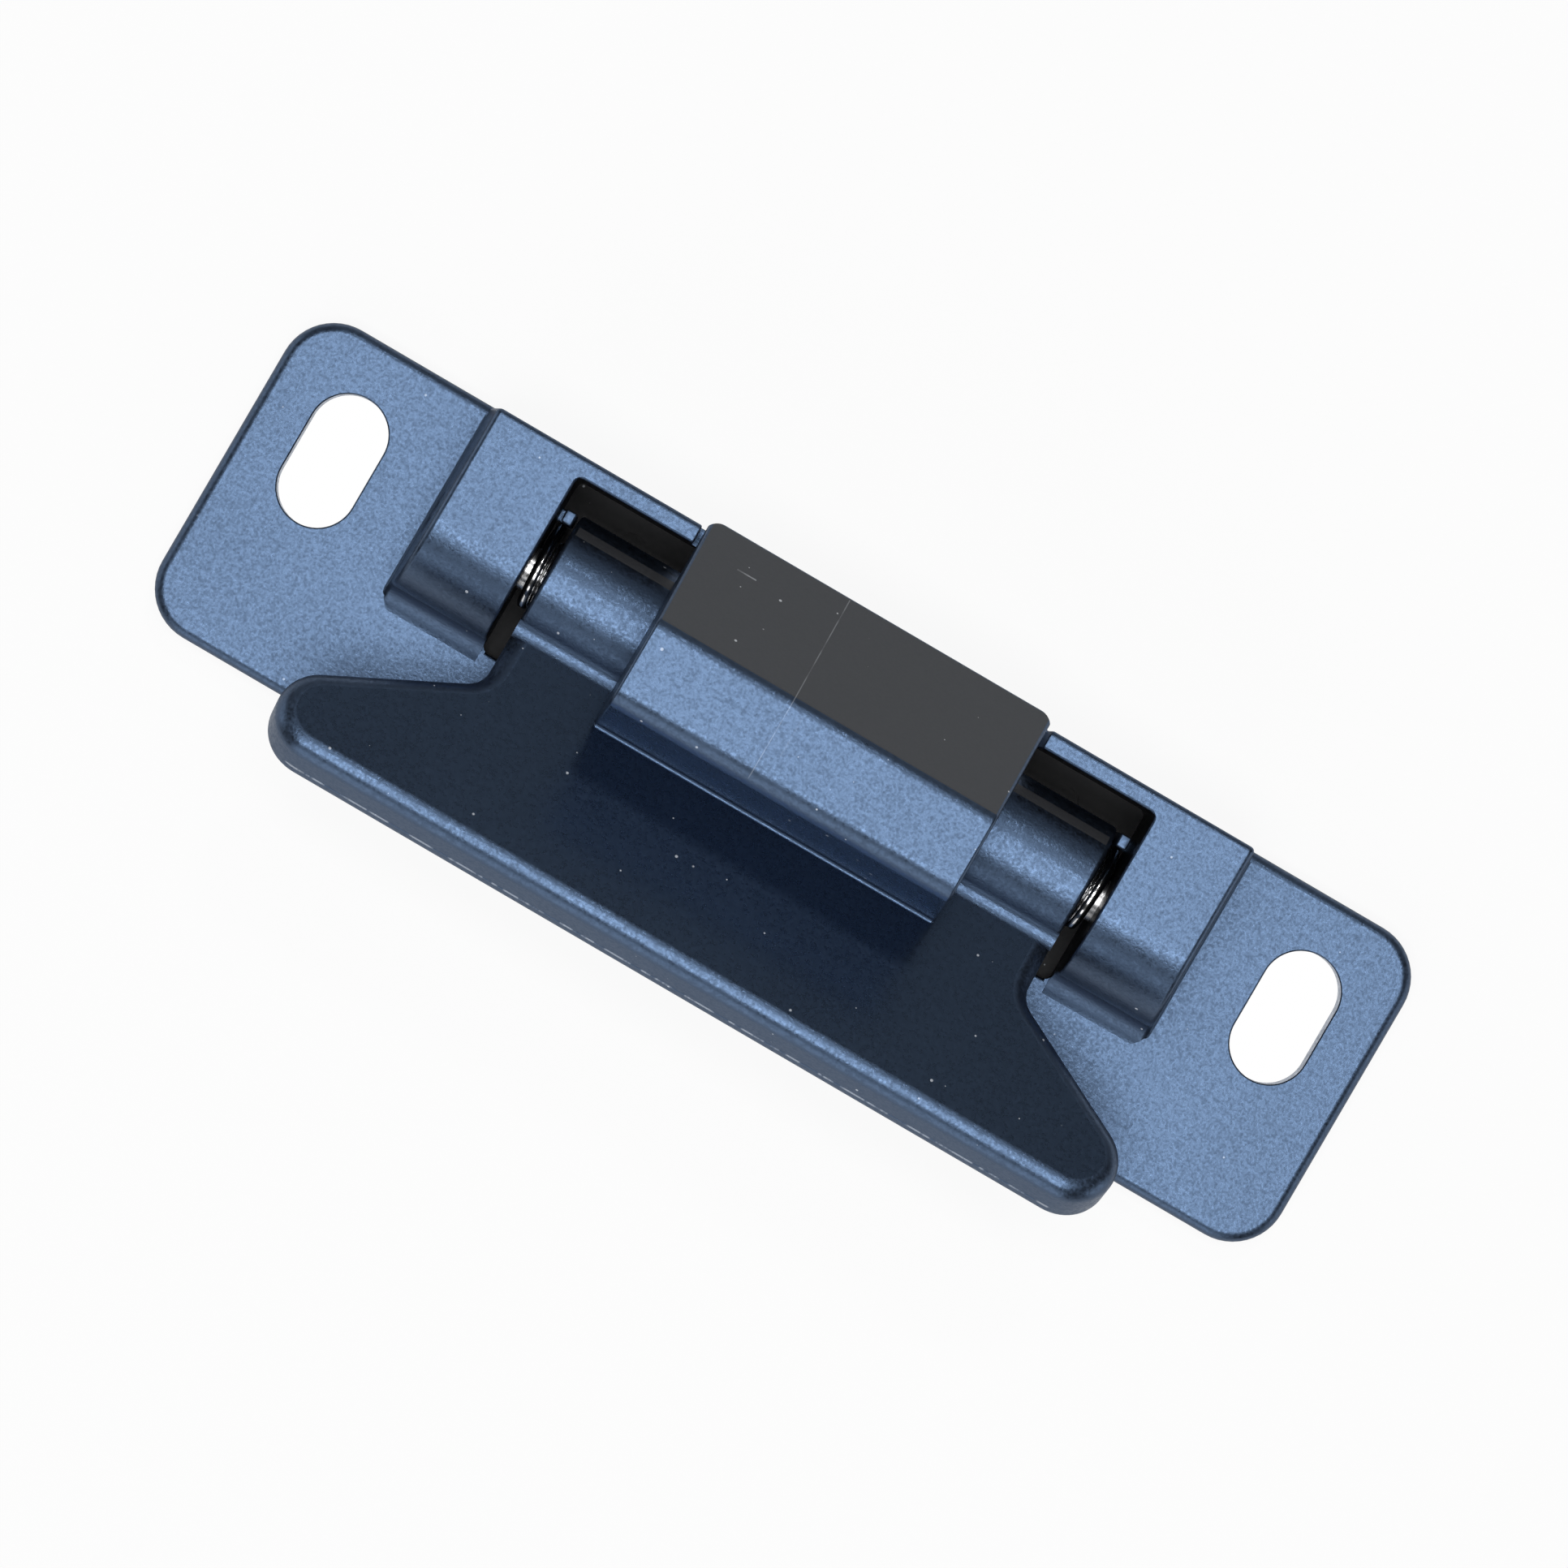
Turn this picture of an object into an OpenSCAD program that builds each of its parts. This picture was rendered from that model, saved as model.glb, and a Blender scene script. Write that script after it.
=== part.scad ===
// Sprung lever latch for a cabinet door: a moulded base plate with two cheeks,
// a one-piece lever (barrel, thumb paddle and claw) on a steel pin, and two torsion springs.
// Origin: midway between the two screw slots, on the mounting face.
// +X runs along the plate, +Y to the claw side, +Z away from the door.

/* [Plate] */
// Length of the mounting plate
plate_length = 85; // [82:0.5:100]
// Width of the plate, rear edge to front edge
plate_width = 23.3; // [21:0.1:28]
// Thickness of the plate
plate_thickness = 2.5; // [2:0.1:2.8]
// Corner radius of the plate, in plan
plate_corner = 3.7; // [2:0.1:5]
// Round-over along the plate's top edge
plate_round = 0.7; // [0.3:0.1:1]

/* [Screw slots] */
// Distance from a slot's centre to the plate's end
slot_inset = 6.35; // [5.5:0.05:7]
// Width of a slot
slot_width = 5.3; // [4.2:0.1:5.6]
// Length of a slot, across the plate
slot_length = 9.3; // [7:0.1:12]
// Slot centres in front of the plate's rear edge
slot_setback = 8.35; // [8:0.05:10]

/* [Housing] */
// Clear length between the two cheeks
pocket_length = 43; // [42.6:0.1:45]
// Width of each cheek at its foot
cheek_width = 7.2; // [6:0.1:7.4]
// How far a cheek's outer wall leans in towards its top
cheek_draft = 0.5; // [0.2:0.1:0.8]
// Fillet at the foot of a cheek's outer wall
cheek_foot = 0.5; // [0.2:0.1:0.8]
// Radius of a cheek's front shoulder about the pin's axis
cheek_shoulder = 5.4; // [5:0.1:6]
// Fillet at the front foot of a cheek
cheek_fillet = 2; // [1:0.1:2.2]
// Small rounding of the cheeks' top edges
cheek_edge = 0.4; // [0.2:0.1:0.6]
// Rounding of a cheek's outer front corner at its foot, in plan
cheek_corner = 1.2; // [0.6:0.1:1.6]
// Wall left round the hollow core of each cheek
core_wall = 1.8; // [1.4:0.1:2.2]
// Thickness of the rear wall
rear_wall = 1.3; // [1:0.1:1.4]
// Floor left under the barrel
pocket_floor = 1.2; // [1:0.1:1.6]
// Distance from the pin's axis to the pocket's front edge
pocket_reach = 6.2; // [5:0.1:7]
// Rounding of the pocket's upright corners
pocket_corner = 0.5; // [0.2:0.1:0.8]
// Gap between the barrel and the pocket's floor
barrel_clearance = 0.5; // [0.4:0.1:0.6]
// Height of the rear wall where it is cut down behind the claw
notch_sill = 4.6; // [3.5:0.1:5.2]
// Gap at each side of the claw in that cut
notch_clearance = 0.2; // [0.15:0.05:0.6]

/* [Pin] */
// Diameter of the pivot pin
pin_d = 3; // [2.5:0.1:3.2]
// Pin's axis in front of the plate's rear edge
pin_setback = 7.95; // [7.8:0.05:8.6]
// Depth of the pin's ends inside the cheeks' outer walls
pin_recess = 0.4; // [0.2:0.1:0.8]
// Chamfer on the pin's ends
pin_chamfer = 0.3; // [0.1:0.1:0.6]
// Radial clearance of the pin in the cheeks
pin_seat_clearance = 0.02; // [0.01:0.01:0.05]
// Radial clearance of the pin in the barrel
pin_running_clearance = 0.06; // [0.03:0.01:0.1]

/* [Lever] */
// Diameter of the barrel
barrel_d = 9.4; // [9.2:0.1:9.8]
// Gap between each end of the barrel and its cheek
barrel_end_gap = 1.35; // [1.2:0.05:2]
// Rise of the paddle towards its front edge, in degrees
paddle_tilt = 30; // [29:0.5:33]
// Distance from the pin's axis to the paddle's front edge, along its slope
paddle_reach = 20.4; // [19:0.1:23]
// Width of the paddle at its front
paddle_width = 61.7; // [58:0.1:66]
// Thickness of the paddle
paddle_thickness = 3.8; // [3.4:0.1:4.2]
// Height of the paddle's top plane above the pin's axis
paddle_rise = 0.8; // [0.4:0.05:1]
// Radius of the paddle's front corners
paddle_corner = 3; // [2:0.1:4]
// Distance from the axis to where the paddle widens, along its slope
flare_start = 9.3; // [8.5:0.1:10]
// Inner radius where the neck runs into the flare
flare_fillet = 2; // [1:0.1:3]
// Rounding of the paddle's top edge
paddle_top_round = 1.2; // [0.6:0.1:1.4]
// Rounding of the paddle's lower edge
paddle_low_round = 0.7; // [0.3:0.1:1]
// Fillet between the barrel and the paddle's top
root_fillet = 1; // [0.5:0.1:1.4]
// Front edge of the heel that stops the lever, behind the pin's axis
heel_front = 1.6; // [1:0.1:2.4]
// Gap between the heel and the floor at rest
heel_gap = 0.1; // [0.05:0.05:0.2]
// Travel of the lever from rest to fully pulled, in degrees
lever_travel = 28; // [20:1:28]

/* [Claw] */
// Width of the claw at the height of the pin's axis
claw_width = 25.7; // [20:0.1:27]
// How far each side of the claw leans in towards its crest
claw_draft = 0.4; // [0.2:0.1:0.6]
// Height of the claw's crest above the pin's axis
crest_height = 14.1; // [12:0.1:16]
// Length of the flat crest
crest_length = 5.9; // [4.5:0.1:6.5]
// Reach of the nose behind the pin's axis
nose_reach = 8.7; // [8.3:0.1:9.5]
// Height of the catch face above the pin's axis
catch_height = 4; // [3.6:0.1:4.4]
// Height of the blunt end of the nose
nose_height = 1; // [0.6:0.1:1.6]
// Slope of the closing ramp, in degrees
ramp_slope = 50; // [47:0.5:54]
// Lean of the claw's front face from upright, in degrees
front_lean = 10; // [6:0.5:14]
// Wall of the hollow claw behind its ramp and crest
claw_wall = 2.4; // [1.8:0.1:3]
// Wall at each end of the claw
claw_end_wall = 2.2; // [1.6:0.1:3]
// Depth of the catch face, from the nose inwards
catch_depth = 2.8; // [2.2:0.1:3]
// Rounding of the crest's front edge
crest_round = 1.5; // [0.4:0.1:1.8]
// Rounding of the ramp's upper and lower edges
ramp_round = 0.5; // [0.2:0.1:0.8]
// Fillet between the claw's front face and the paddle
claw_foot_fillet = 0.6; // [0.4:0.1:1.2]
// Rounding of the nose's corners, in plan
nose_corner = 1.1; // [0.4:0.1:1.6]

/* [Springs] */
// Diameter of the spring wire
wire_d = 0.75; // [0.6:0.05:0.8]
// Whole turns in each coil, besides the part turn between the legs
coil_turns = 4; // [3:1:5]
// Radial gap between the coil and the pin
coil_clearance = 0.3; // [0.2:0.05:0.4]
// Gap between neighbouring turns
coil_gap = 0.05; // [0.03:0.01:0.1]
// Gap between the coil and the walls around it
coil_room = 0.15; // [0.1:0.05:0.3]
// Direction of the fixed leg behind straight down, in degrees
fixed_leg_lean = 15; // [12:1:20]
// Length of the leg that turns with the lever
moving_leg = 2.7; // [2:0.1:2.7]
// Gap between a leg and what it bears on
leg_gap = 0.05; // [0.02:0.01:0.1]
// Spring lug: its front face behind the pin's axis
lug_setback = 3.65; // [3.5:0.05:3.8]
// Spring lug: width, front to rear
lug_width = 0.9; // [0.7:0.1:1.2]
// Gap between the spring lug and the barrel's end
lug_gap = 0.25; // [0.2:0.05:0.4]
// Spring lug: height above the mounting face
lug_height = 9; // [7:0.1:10]

/* [Hidden] */

$fn = 64;
// Straight pieces in each rounded corner of an outline
corner_steps = 6;
// Sides of the wire, and rings in one turn of the coil
wire_sides = 8;
turn_rings = 20;
// Overlap that joins solids, and overshoot of cuts
join = 0.2;
beyond = 1;
plastic = "#2b303b";
steel = "#c8cacd";

rear_y = slot_setback;
front_y = rear_y - plate_width;
slot_x = plate_length / 2 - slot_inset;
pocket_x = pocket_length / 2;
cheek_x = pocket_x + cheek_width;
barrel_r = barrel_d / 2;
// The barrel is also as wide as the paddle's neck
barrel_x = pocket_x - barrel_end_gap;
pin_r = pin_d / 2;
axis_y = rear_y - pin_setback;
axis_z = pocket_floor + barrel_clearance + barrel_r;
house_top = axis_z + cheek_shoulder;
claw_x = claw_width / 2;
pin_x = cheek_x - cheek_draft * (axis_z - plate_thickness) / (house_top - plate_thickness) - pin_recess;
coil_r = pin_r + coil_clearance + wire_d / 2;
coil_pitch = wire_d + coil_gap;
coil_bore_r = coil_r + wire_d / 2 + coil_room;
moving_leg_angle = 180;
coil_sweep = 360 * coil_turns + moving_leg_angle - fixed_leg_lean;
coil_outer_x = pocket_x - coil_room - wire_d / 2;
coil_inner_x = coil_outer_x - coil_pitch * coil_sweep / 360;
coil_bore_end_x = coil_inner_x - wire_d / 2 - coil_room;
fixed_leg = (lug_setback - leg_gap - wire_d / 2 - coil_r * cos(fixed_leg_lean)) / sin(fixed_leg_lean);

function unit(v) = v / norm(v);

// Points of an arc about a centre, from one angle to another
function arc(centre, r, from, to) =
    [for (i = [0:corner_steps])
        let (a = from + (to - from) * i / corner_steps)
        centre + r * [cos(a), sin(a)]];

// One corner b of an outline, between its neighbours a and c, rounded with radius r
function round_corner(a, b, c, r) =
    let (to_a = unit(a - b), to_c = unit(c - b))
    let (half = acos(to_a * to_c) / 2)
    let (centre = b + unit(to_a + to_c) * r / sin(half))
    let (first = b + to_a * r / tan(half) - centre, last = b + to_c * r / tan(half) - centre)
    let (from = atan2(first.y, first.x), turn = atan2(last.y, last.x) - from)
    arc(centre, r, from, from + turn - 360 * round(turn / 360));

// Outline from corners [x, y, radius]
function rounded(corners) =
    let (n = len(corners), at = [for (p = corners) [p.x, p.y]])
    [for (i = [0:n - 1])
        each corners[i].z > 0
            ? round_corner(at[(i + n - 1) % n], at[i], at[(i + 1) % n], corners[i].z)
            : [at[i]]];

// A (y, z) outline drawn out along X
module along_x(from, to) {
    translate([from, 0, 0])
        rotate([90, 0, 90])
            linear_extrude(to - from)
                children();
}

// An (x, z) outline drawn out along Y
module along_y(from, to) {
    translate([0, to, 0])
        rotate([90, 0, 0])
            linear_extrude(to - from)
                children();
}

// A round bar along X
module bar_x(r, from, to) {
    translate([from, 0, 0])
        rotate([0, 90, 0])
            cylinder(h = to - from, r = r);
}

// Puts the lever's own frame, with the pin's axis at its origin, in place
module at_axis() {
    translate([0, axis_y, axis_z])
        children();
}

// One half at +X and its mirror image
module both_ends() {
    for (end = [0, 1])
        mirror([end, 0, 0])
            children();
}

// Plate with a rounded top edge: two crossed sections and four turned corners
module plate() {
    function section(half) = rounded([
        [-half, 0, 0], [half, 0, 0],
        [half, plate_thickness, plate_round], [-half, plate_thickness, plate_round]]);
    mid_y = (rear_y + front_y) / 2;
    half_y = plate_width / 2;
    half_x = plate_length / 2;
    translate([0, mid_y, 0]) {
        along_x(plate_corner - half_x, half_x - plate_corner)
            polygon(section(half_y));
        along_y(plate_corner - half_y, half_y - plate_corner)
            polygon(section(half_x));
        for (x = [-1, 1], y = [-1, 1])
            translate([x * (half_x - plate_corner), y * (half_y - plate_corner), 0])
                rotate_extrude()
                    polygon(rounded([
                        [0, 0, 0], [plate_corner, 0, 0],
                        [plate_corner, plate_thickness, plate_round], [0, plate_thickness, 0]]));
    }
}

// Screw slot across the plate
module slot() {
    end_y = (slot_length - slot_width) / 2;
    translate([slot_x, 0, -beyond])
        linear_extrude(plate_thickness + 2 * beyond) {
            square([slot_width, 2 * end_y], center = true);
            for (y = [-end_y, end_y])
                translate([0, y])
                    circle(d = slot_width);
        }
}

// Cheek at +X: its side outline, leaning outer wall and foot fillets
module cheek() {
    shoulder_y = axis_y - cheek_shoulder;
    foot_y = shoulder_y - cheek_fillet;
    foot_x = cheek_x + cheek_foot;
    intersection() {
        along_x(pocket_x, foot_x)
            polygon(rounded([
                [rear_y, 0, 0], [rear_y, house_top, cheek_edge],
                [shoulder_y, house_top, cheek_shoulder], [shoulder_y, plate_thickness, cheek_fillet],
                [foot_y, plate_thickness, 0], [foot_y, 0, 0]]));
        along_y(foot_y, rear_y)
            polygon(rounded([
                [pocket_x, 0, 0], [foot_x, 0, 0], [foot_x, plate_thickness, 0],
                [cheek_x, plate_thickness, cheek_foot], [cheek_x - cheek_draft, house_top, cheek_edge],
                [pocket_x, house_top, cheek_edge]]));
        linear_extrude(house_top)
            polygon(rounded([
                [pocket_x, foot_y, 0], [foot_x, foot_y, cheek_corner],
                [foot_x, rear_y, 0], [pocket_x, rear_y, 0]]));
    }
}

// Hollow core of a cheek, open at the mounting face
module cheek_core() {
    core_rear = rear_y - core_wall;
    core_front = axis_y - cheek_shoulder + core_wall;
    core_top = house_top - core_wall;
    along_x(pocket_x + core_wall, cheek_x - cheek_draft - core_wall)
        polygon(rounded([
            [core_rear, -beyond, 0], [core_rear, core_top, cheek_edge],
            [core_front, core_top, cheek_shoulder - core_wall], [core_front, -beyond, 0]]));
}

// Rear wall from cheek to cheek, let into their rounded edges; the pocket cuts it to its thickness
module rear_panel() {
    end_x = pocket_x + cheek_edge + join;
    inner_y = rear_y - rear_wall - pocket_corner;
    along_x(-end_x, end_x)
        polygon(rounded([
            [inner_y, 0, 0], [rear_y, 0, 0], [rear_y, house_top, cheek_edge], [inner_y, house_top, 0]]));
}

// Lug on a cheek's inner wall, which the spring's fixed leg bears on
module spring_lug() {
    inner_x = barrel_x + lug_gap;
    translate([inner_x, axis_y + lug_setback, pocket_floor - join])
        cube([pocket_x - inner_x + join, lug_width, lug_height - pocket_floor + join]);
}

// Space between the cheeks, down to the floor under the barrel
module pocket() {
    pocket_front = axis_y - pocket_reach;
    pocket_rear = rear_y - rear_wall;
    translate([0, 0, pocket_floor])
        linear_extrude(house_top)
            polygon(rounded([
                [-pocket_x, pocket_front, pocket_corner], [pocket_x, pocket_front, pocket_corner],
                [pocket_x, pocket_rear, pocket_corner], [-pocket_x, pocket_rear, pocket_corner]]));
}

// Cut in the rear wall, which lets the strike in under the claw
module notch() {
    half = claw_x + notch_clearance;
    translate([-half, rear_y - rear_wall - pocket_corner - join, notch_sill])
        cube([2 * half, rear_wall + pocket_corner + join + beyond, house_top]);
}

module base() color(plastic) {
    difference() {
        union() {
            plate();
            both_ends()
                cheek();
            rear_panel();
        }
        both_ends() {
            slot();
            cheek_core();
            at_axis()
                bar_x(pin_r + pin_seat_clearance, pocket_x - join, cheek_x + beyond);
        }
        pocket();
        notch();
    }
    both_ends()
        spring_lug();
}

// Disc with the paddle's edge roundings, standing on its lower face
module paddle_disc(r) {
    rotate_extrude($fn = 32)
        polygon(rounded([
            [0, 0, 0], [r, 0, paddle_low_round],
            [r, paddle_thickness, paddle_top_round], [0, paddle_thickness, 0]]));
}

// Paddle lying flat, its neck at the axis and its front edge towards -Y
module flat_paddle() {
    neck_disc = paddle_top_round + join;
    neck_x = barrel_x - neck_disc;
    tip = [paddle_width / 2 - paddle_corner, paddle_reach - paddle_corner];
    flare = [neck_x, flare_start + neck_disc / 2];
    // Line from the neck's disc to the corner's disc, and the angle of their common edge
    run = tip - flare;
    edge = atan2(run.y, run.x) - asin((paddle_corner - neck_disc) / norm(run));
    touch = flare + neck_disc * [sin(edge), -cos(edge)];
    meet_s = touch.y + (barrel_x - touch.x) * tan(edge);
    translate([0, 0, paddle_rise - paddle_thickness]) {
        hull()
            for (x = [-1, 1], s = [neck_disc, flare_start])
                translate([x * neck_x, -s, 0])
                    paddle_disc(neck_disc);
        hull()
            for (x = [-1, 1]) {
                translate([x * tip.x, -tip.y, 0])
                    paddle_disc(paddle_corner);
                translate([x * flare.x, -flare.y, 0])
                    paddle_disc(neck_disc);
            }
        both_ends()
            translate([0, 0, paddle_low_round])
                linear_extrude(paddle_thickness - paddle_low_round - paddle_top_round / 2)
                    polygon(rounded([
                        [barrel_x - join, -meet_s + flare_fillet, 0], [barrel_x, -meet_s + flare_fillet, 0],
                        [barrel_x, -meet_s, flare_fillet],
                        [barrel_x + flare_fillet * cos(edge), -meet_s - flare_fillet * sin(edge), 0],
                        [barrel_x - join, -meet_s - flare_fillet * sin(edge), 0]]));
    }
}

// Fillet along the corner between the barrel and the paddle's top, paddle lying flat
module root_blend() {
    centre_z = root_fillet + paddle_rise;
    centre_y = -sqrt((barrel_r + root_fillet) ^ 2 - centre_z ^ 2);
    along_x(-barrel_x, barrel_x)
        polygon(concat(
            [[centre_y, paddle_rise - join], [-barrel_r + join, paddle_rise - join]],
            arc([centre_y, centre_z], root_fillet, atan2(-centre_z, -centre_y), -90)));
}

// Claw outline in the lever's frame, from the catch face round the nose, crest and front face
module claw_outline() {
    nose_z = catch_height + nose_height;
    crest_y = nose_reach - (crest_height - nose_z) / tan(ramp_slope);
    crest_front_y = crest_y - crest_length;
    slope = [-cos(paddle_tilt), sin(paddle_tilt)];
    up = [sin(paddle_tilt), cos(paddle_tilt)];
    // Where the leaning front face comes down on the paddle's top plane
    lean = [-sin(front_lean), -cos(front_lean)];
    top = [crest_front_y, crest_height];
    foot = top - lean * ((top * up - paddle_rise) / (lean * up));
    toe = foot + slope * 2 * claw_foot_fillet;
    // Inside the barrel's rear side, where the end walls grow out of it
    root_y = barrel_r - 2 * join;
    polygon(rounded([
        [nose_reach, catch_height, ramp_round * 0.6], [nose_reach, nose_z, ramp_round * 0.6],
        [crest_y, crest_height, ramp_round], [top.x, top.y, crest_round],
        [foot.x, foot.y, claw_foot_fillet], [toe.x, toe.y, 0],
        [toe.x - join * up.x, toe.y - join * up.y, 0], [0, -join, 0],
        [root_y, -join, 0], [root_y, catch_height, 0]]));
}

// Hollow behind the ramp and the crest, open to the rear under the nose
module claw_hollow() {
    nose_z = catch_height + nose_height;
    crest_y = nose_reach - (crest_height - nose_z) / tan(ramp_slope);
    lip_y = nose_reach - catch_depth;
    roof_z = crest_height - claw_wall;
    // Ramp's inner face, one wall behind its outer one
    inner_y = nose_reach - claw_wall / sin(ramp_slope);
    lip_z = nose_z + (inner_y - lip_y) * tan(ramp_slope);
    roof_rear_y = inner_y - (roof_z - nose_z) / tan(ramp_slope);
    top_y = crest_y - crest_length + claw_wall / cos(front_lean);
    function wall_y(z) = top_y - (crest_height - z) * tan(front_lean);
    polygon(rounded([
        [lip_y, 0, 0], [lip_y, lip_z, claw_foot_fillet / 2], [roof_rear_y, roof_z, claw_foot_fillet],
        [wall_y(roof_z), roof_z, claw_foot_fillet], [wall_y(0), 0, 0]]));
}

// Claw with leaning sides, its nose corners rounded in plan
module claw() {
    hollow_x = claw_x - claw_end_wall;
    crest_x = claw_x - claw_draft;
    difference() {
        intersection() {
            along_x(-claw_x, claw_x)
                claw_outline();
            along_y(-paddle_reach, nose_reach)
                polygon([
                    [-claw_x, -join], [claw_x, -join],
                    [crest_x, crest_height], [-crest_x, crest_height]]);
            linear_extrude(2 * crest_height, center = true)
                polygon(rounded([
                    [-claw_x, -paddle_reach, 0], [claw_x, -paddle_reach, 0],
                    [claw_x, nose_reach, nose_corner], [-claw_x, nose_reach, nose_corner]]));
        }
        along_x(-hollow_x, hollow_x)
            claw_hollow();
    }
}

// Heel under the barrel, which stops the lever on the pocket's floor
module heel() {
    floor_z = heel_gap - barrel_r - barrel_clearance;
    // Furthest back the heel may reach and still clear the rear wall when pulled
    swing = pin_setback - rear_wall - barrel_clearance + floor_z * sin(lever_travel);
    rear = min(swing / cos(lever_travel), barrel_r - 2 * join);
    along_x(-barrel_x, barrel_x)
        polygon([[0, 0], [0, -barrel_r], [heel_front, floor_z], [rear, floor_z], [rear, 0]]);
}

// Seat in the barrel's end at +X for the coil, with a slot for its leg
module spring_seat() {
    slot_w = wire_d + 2 * coil_room;
    bar_x(coil_bore_r, coil_bore_end_x, barrel_x + beyond);
    translate([coil_bore_end_x, -coil_r - slot_w / 2, -moving_leg - coil_room])
        cube([barrel_x + beyond - coil_bore_end_x, slot_w, moving_leg + coil_room]);
}

module lever() color(plastic) at_axis() difference() {
    union() {
        bar_x(barrel_r, -barrel_x, barrel_x);
        heel();
        rotate([-paddle_tilt, 0, 0]) {
            flat_paddle();
            root_blend();
        }
        claw();
    }
    bar_x(pin_r + pin_running_clearance, -barrel_x - beyond, barrel_x + beyond);
    both_ends()
        spring_seat();
}

module pivot_pin() color(steel) at_axis() rotate([0, 90, 0]) rotate_extrude()
    polygon([
        [0, -pin_x], [pin_r - pin_chamfer, -pin_x], [pin_r, pin_chamfer - pin_x],
        [pin_r, pin_x - pin_chamfer], [pin_r - pin_chamfer, pin_x], [0, pin_x]]);

// Wire's centre line: fixed leg, coil and moving leg, as [x, y, z] about the pin's axis
function spring_path() =
    let (start = coil_r * [cos(fixed_leg_lean), sin(fixed_leg_lean)])
    let (tip = start + fixed_leg * [sin(fixed_leg_lean), -cos(fixed_leg_lean)])
    let (rings = round(turn_rings * coil_sweep / 360))
    let (end = coil_r * [cos(moving_leg_angle), sin(moving_leg_angle)])
    let (leg_end = end + moving_leg * [-sin(moving_leg_angle), cos(moving_leg_angle)])
    concat(
        [[coil_outer_x, tip.x, tip.y]],
        [for (i = [0:rings])
            let (a = fixed_leg_lean + coil_sweep * i / rings)
            [coil_outer_x - coil_pitch * coil_sweep / 360 * i / rings, coil_r * cos(a), coil_r * sin(a)]],
        [[coil_inner_x, leg_end.x, leg_end.y]]);

// Round wire swept along a path whose direction is never along X
module wire(path) {
    last = len(path) - 1;
    function direction(i) = unit(path[min(i + 1, last)] - path[max(i - 1, 0)]);
    function ring(i) =
        let (t = direction(i), side = unit([1, 0, 0] - t * t.x), up = cross(t, side))
        [for (k = [0:wire_sides - 1])
            path[i] + wire_d / 2 * (cos(360 * k / wire_sides) * side + sin(360 * k / wire_sides) * up)];
    polyhedron(
        points = [for (i = [0:last]) each ring(i)],
        faces = concat(
            [[for (k = [0:wire_sides - 1]) k]],
            [for (i = [0:last - 1], k = [0:wire_sides - 1])
                let (next = (k + 1) % wire_sides, a = i * wire_sides, b = a + wire_sides)
                [a + next, a + k, b + k, b + next]],
            [[for (k = [wire_sides - 1:-1:0]) last * wire_sides + k]]));
}

module right_spring() color(steel) at_axis() wire(spring_path());

module left_spring() color(steel) mirror([1, 0, 0]) at_axis() wire(spring_path());

base();
lever();
pivot_pin();
left_spring();
right_spring();
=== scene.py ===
"""Looks of a sprung lever latch: satin moulded plastic, a steel pivot pin and two torsion springs.

Pieces are modelled in millimetres in the part's own frame and brought to metres when they are finished.
"""

import math

import bmesh
import bpy
from mathutils import Matrix, Vector


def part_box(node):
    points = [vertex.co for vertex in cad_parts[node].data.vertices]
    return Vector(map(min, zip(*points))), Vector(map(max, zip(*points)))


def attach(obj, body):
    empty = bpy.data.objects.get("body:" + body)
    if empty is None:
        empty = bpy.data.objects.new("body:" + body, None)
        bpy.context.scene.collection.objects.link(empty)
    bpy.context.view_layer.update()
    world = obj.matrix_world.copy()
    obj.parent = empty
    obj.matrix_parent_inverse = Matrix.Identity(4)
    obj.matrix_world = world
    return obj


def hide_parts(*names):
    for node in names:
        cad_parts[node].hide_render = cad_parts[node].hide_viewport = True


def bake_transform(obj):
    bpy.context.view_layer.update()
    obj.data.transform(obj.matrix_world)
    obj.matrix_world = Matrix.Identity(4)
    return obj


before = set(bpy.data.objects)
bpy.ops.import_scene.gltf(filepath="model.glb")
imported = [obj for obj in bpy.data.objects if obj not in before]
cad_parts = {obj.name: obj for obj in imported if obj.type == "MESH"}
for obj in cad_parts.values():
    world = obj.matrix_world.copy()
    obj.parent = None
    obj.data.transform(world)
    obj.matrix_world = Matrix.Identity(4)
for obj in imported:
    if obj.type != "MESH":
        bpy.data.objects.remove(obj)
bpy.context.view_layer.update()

MM = 0.001

# Sizes taken from the frame, in millimetres
base_low, base_high = [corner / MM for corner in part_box("base")]
lever_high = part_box("lever")[1] / MM
pin_low, pin_high = [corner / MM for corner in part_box("pivot_pin")]
AXIS = Vector((0, (pin_low.y + pin_high.y) / 2, (pin_low.z + pin_high.z) / 2))
REAR_Y = base_high.y
HOUSE_TOP = base_high.z
CREST = lever_high.z - AXIS.z

# Base moulding
PLATE_THICKNESS = 2.5
PLATE_CORNER = 3.7
PLATE_ROUND = 0.7
PLATE_BACK_ROUND = 0.15
SLOT_X = 36.15
SLOT_WIDTH = 5.3
SLOT_LENGTH = 9.3
SLOT_RIM = 0.12
POCKET_X = 21.5
POCKET_REACH = 6.2
POCKET_CORNER = 0.5
POCKET_FLOOR = 1.2
POCKET_RIM = 0.2
POCKET_LIP = 0.25
CHEEK_X = 28.95
CHEEK_DRAFT = 0.75
SHOULDER = 5.4
CHEEK_FILLET = 2.0
CHEEK_EDGE = 0.4
CHEEK_CORNER = 1.9
CHEEK_RIM = 0.35
CHEEK_FOOT_FILLET = 0.15
CORE_WALL = 1.8
REAR_WALL = 1.3
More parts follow.
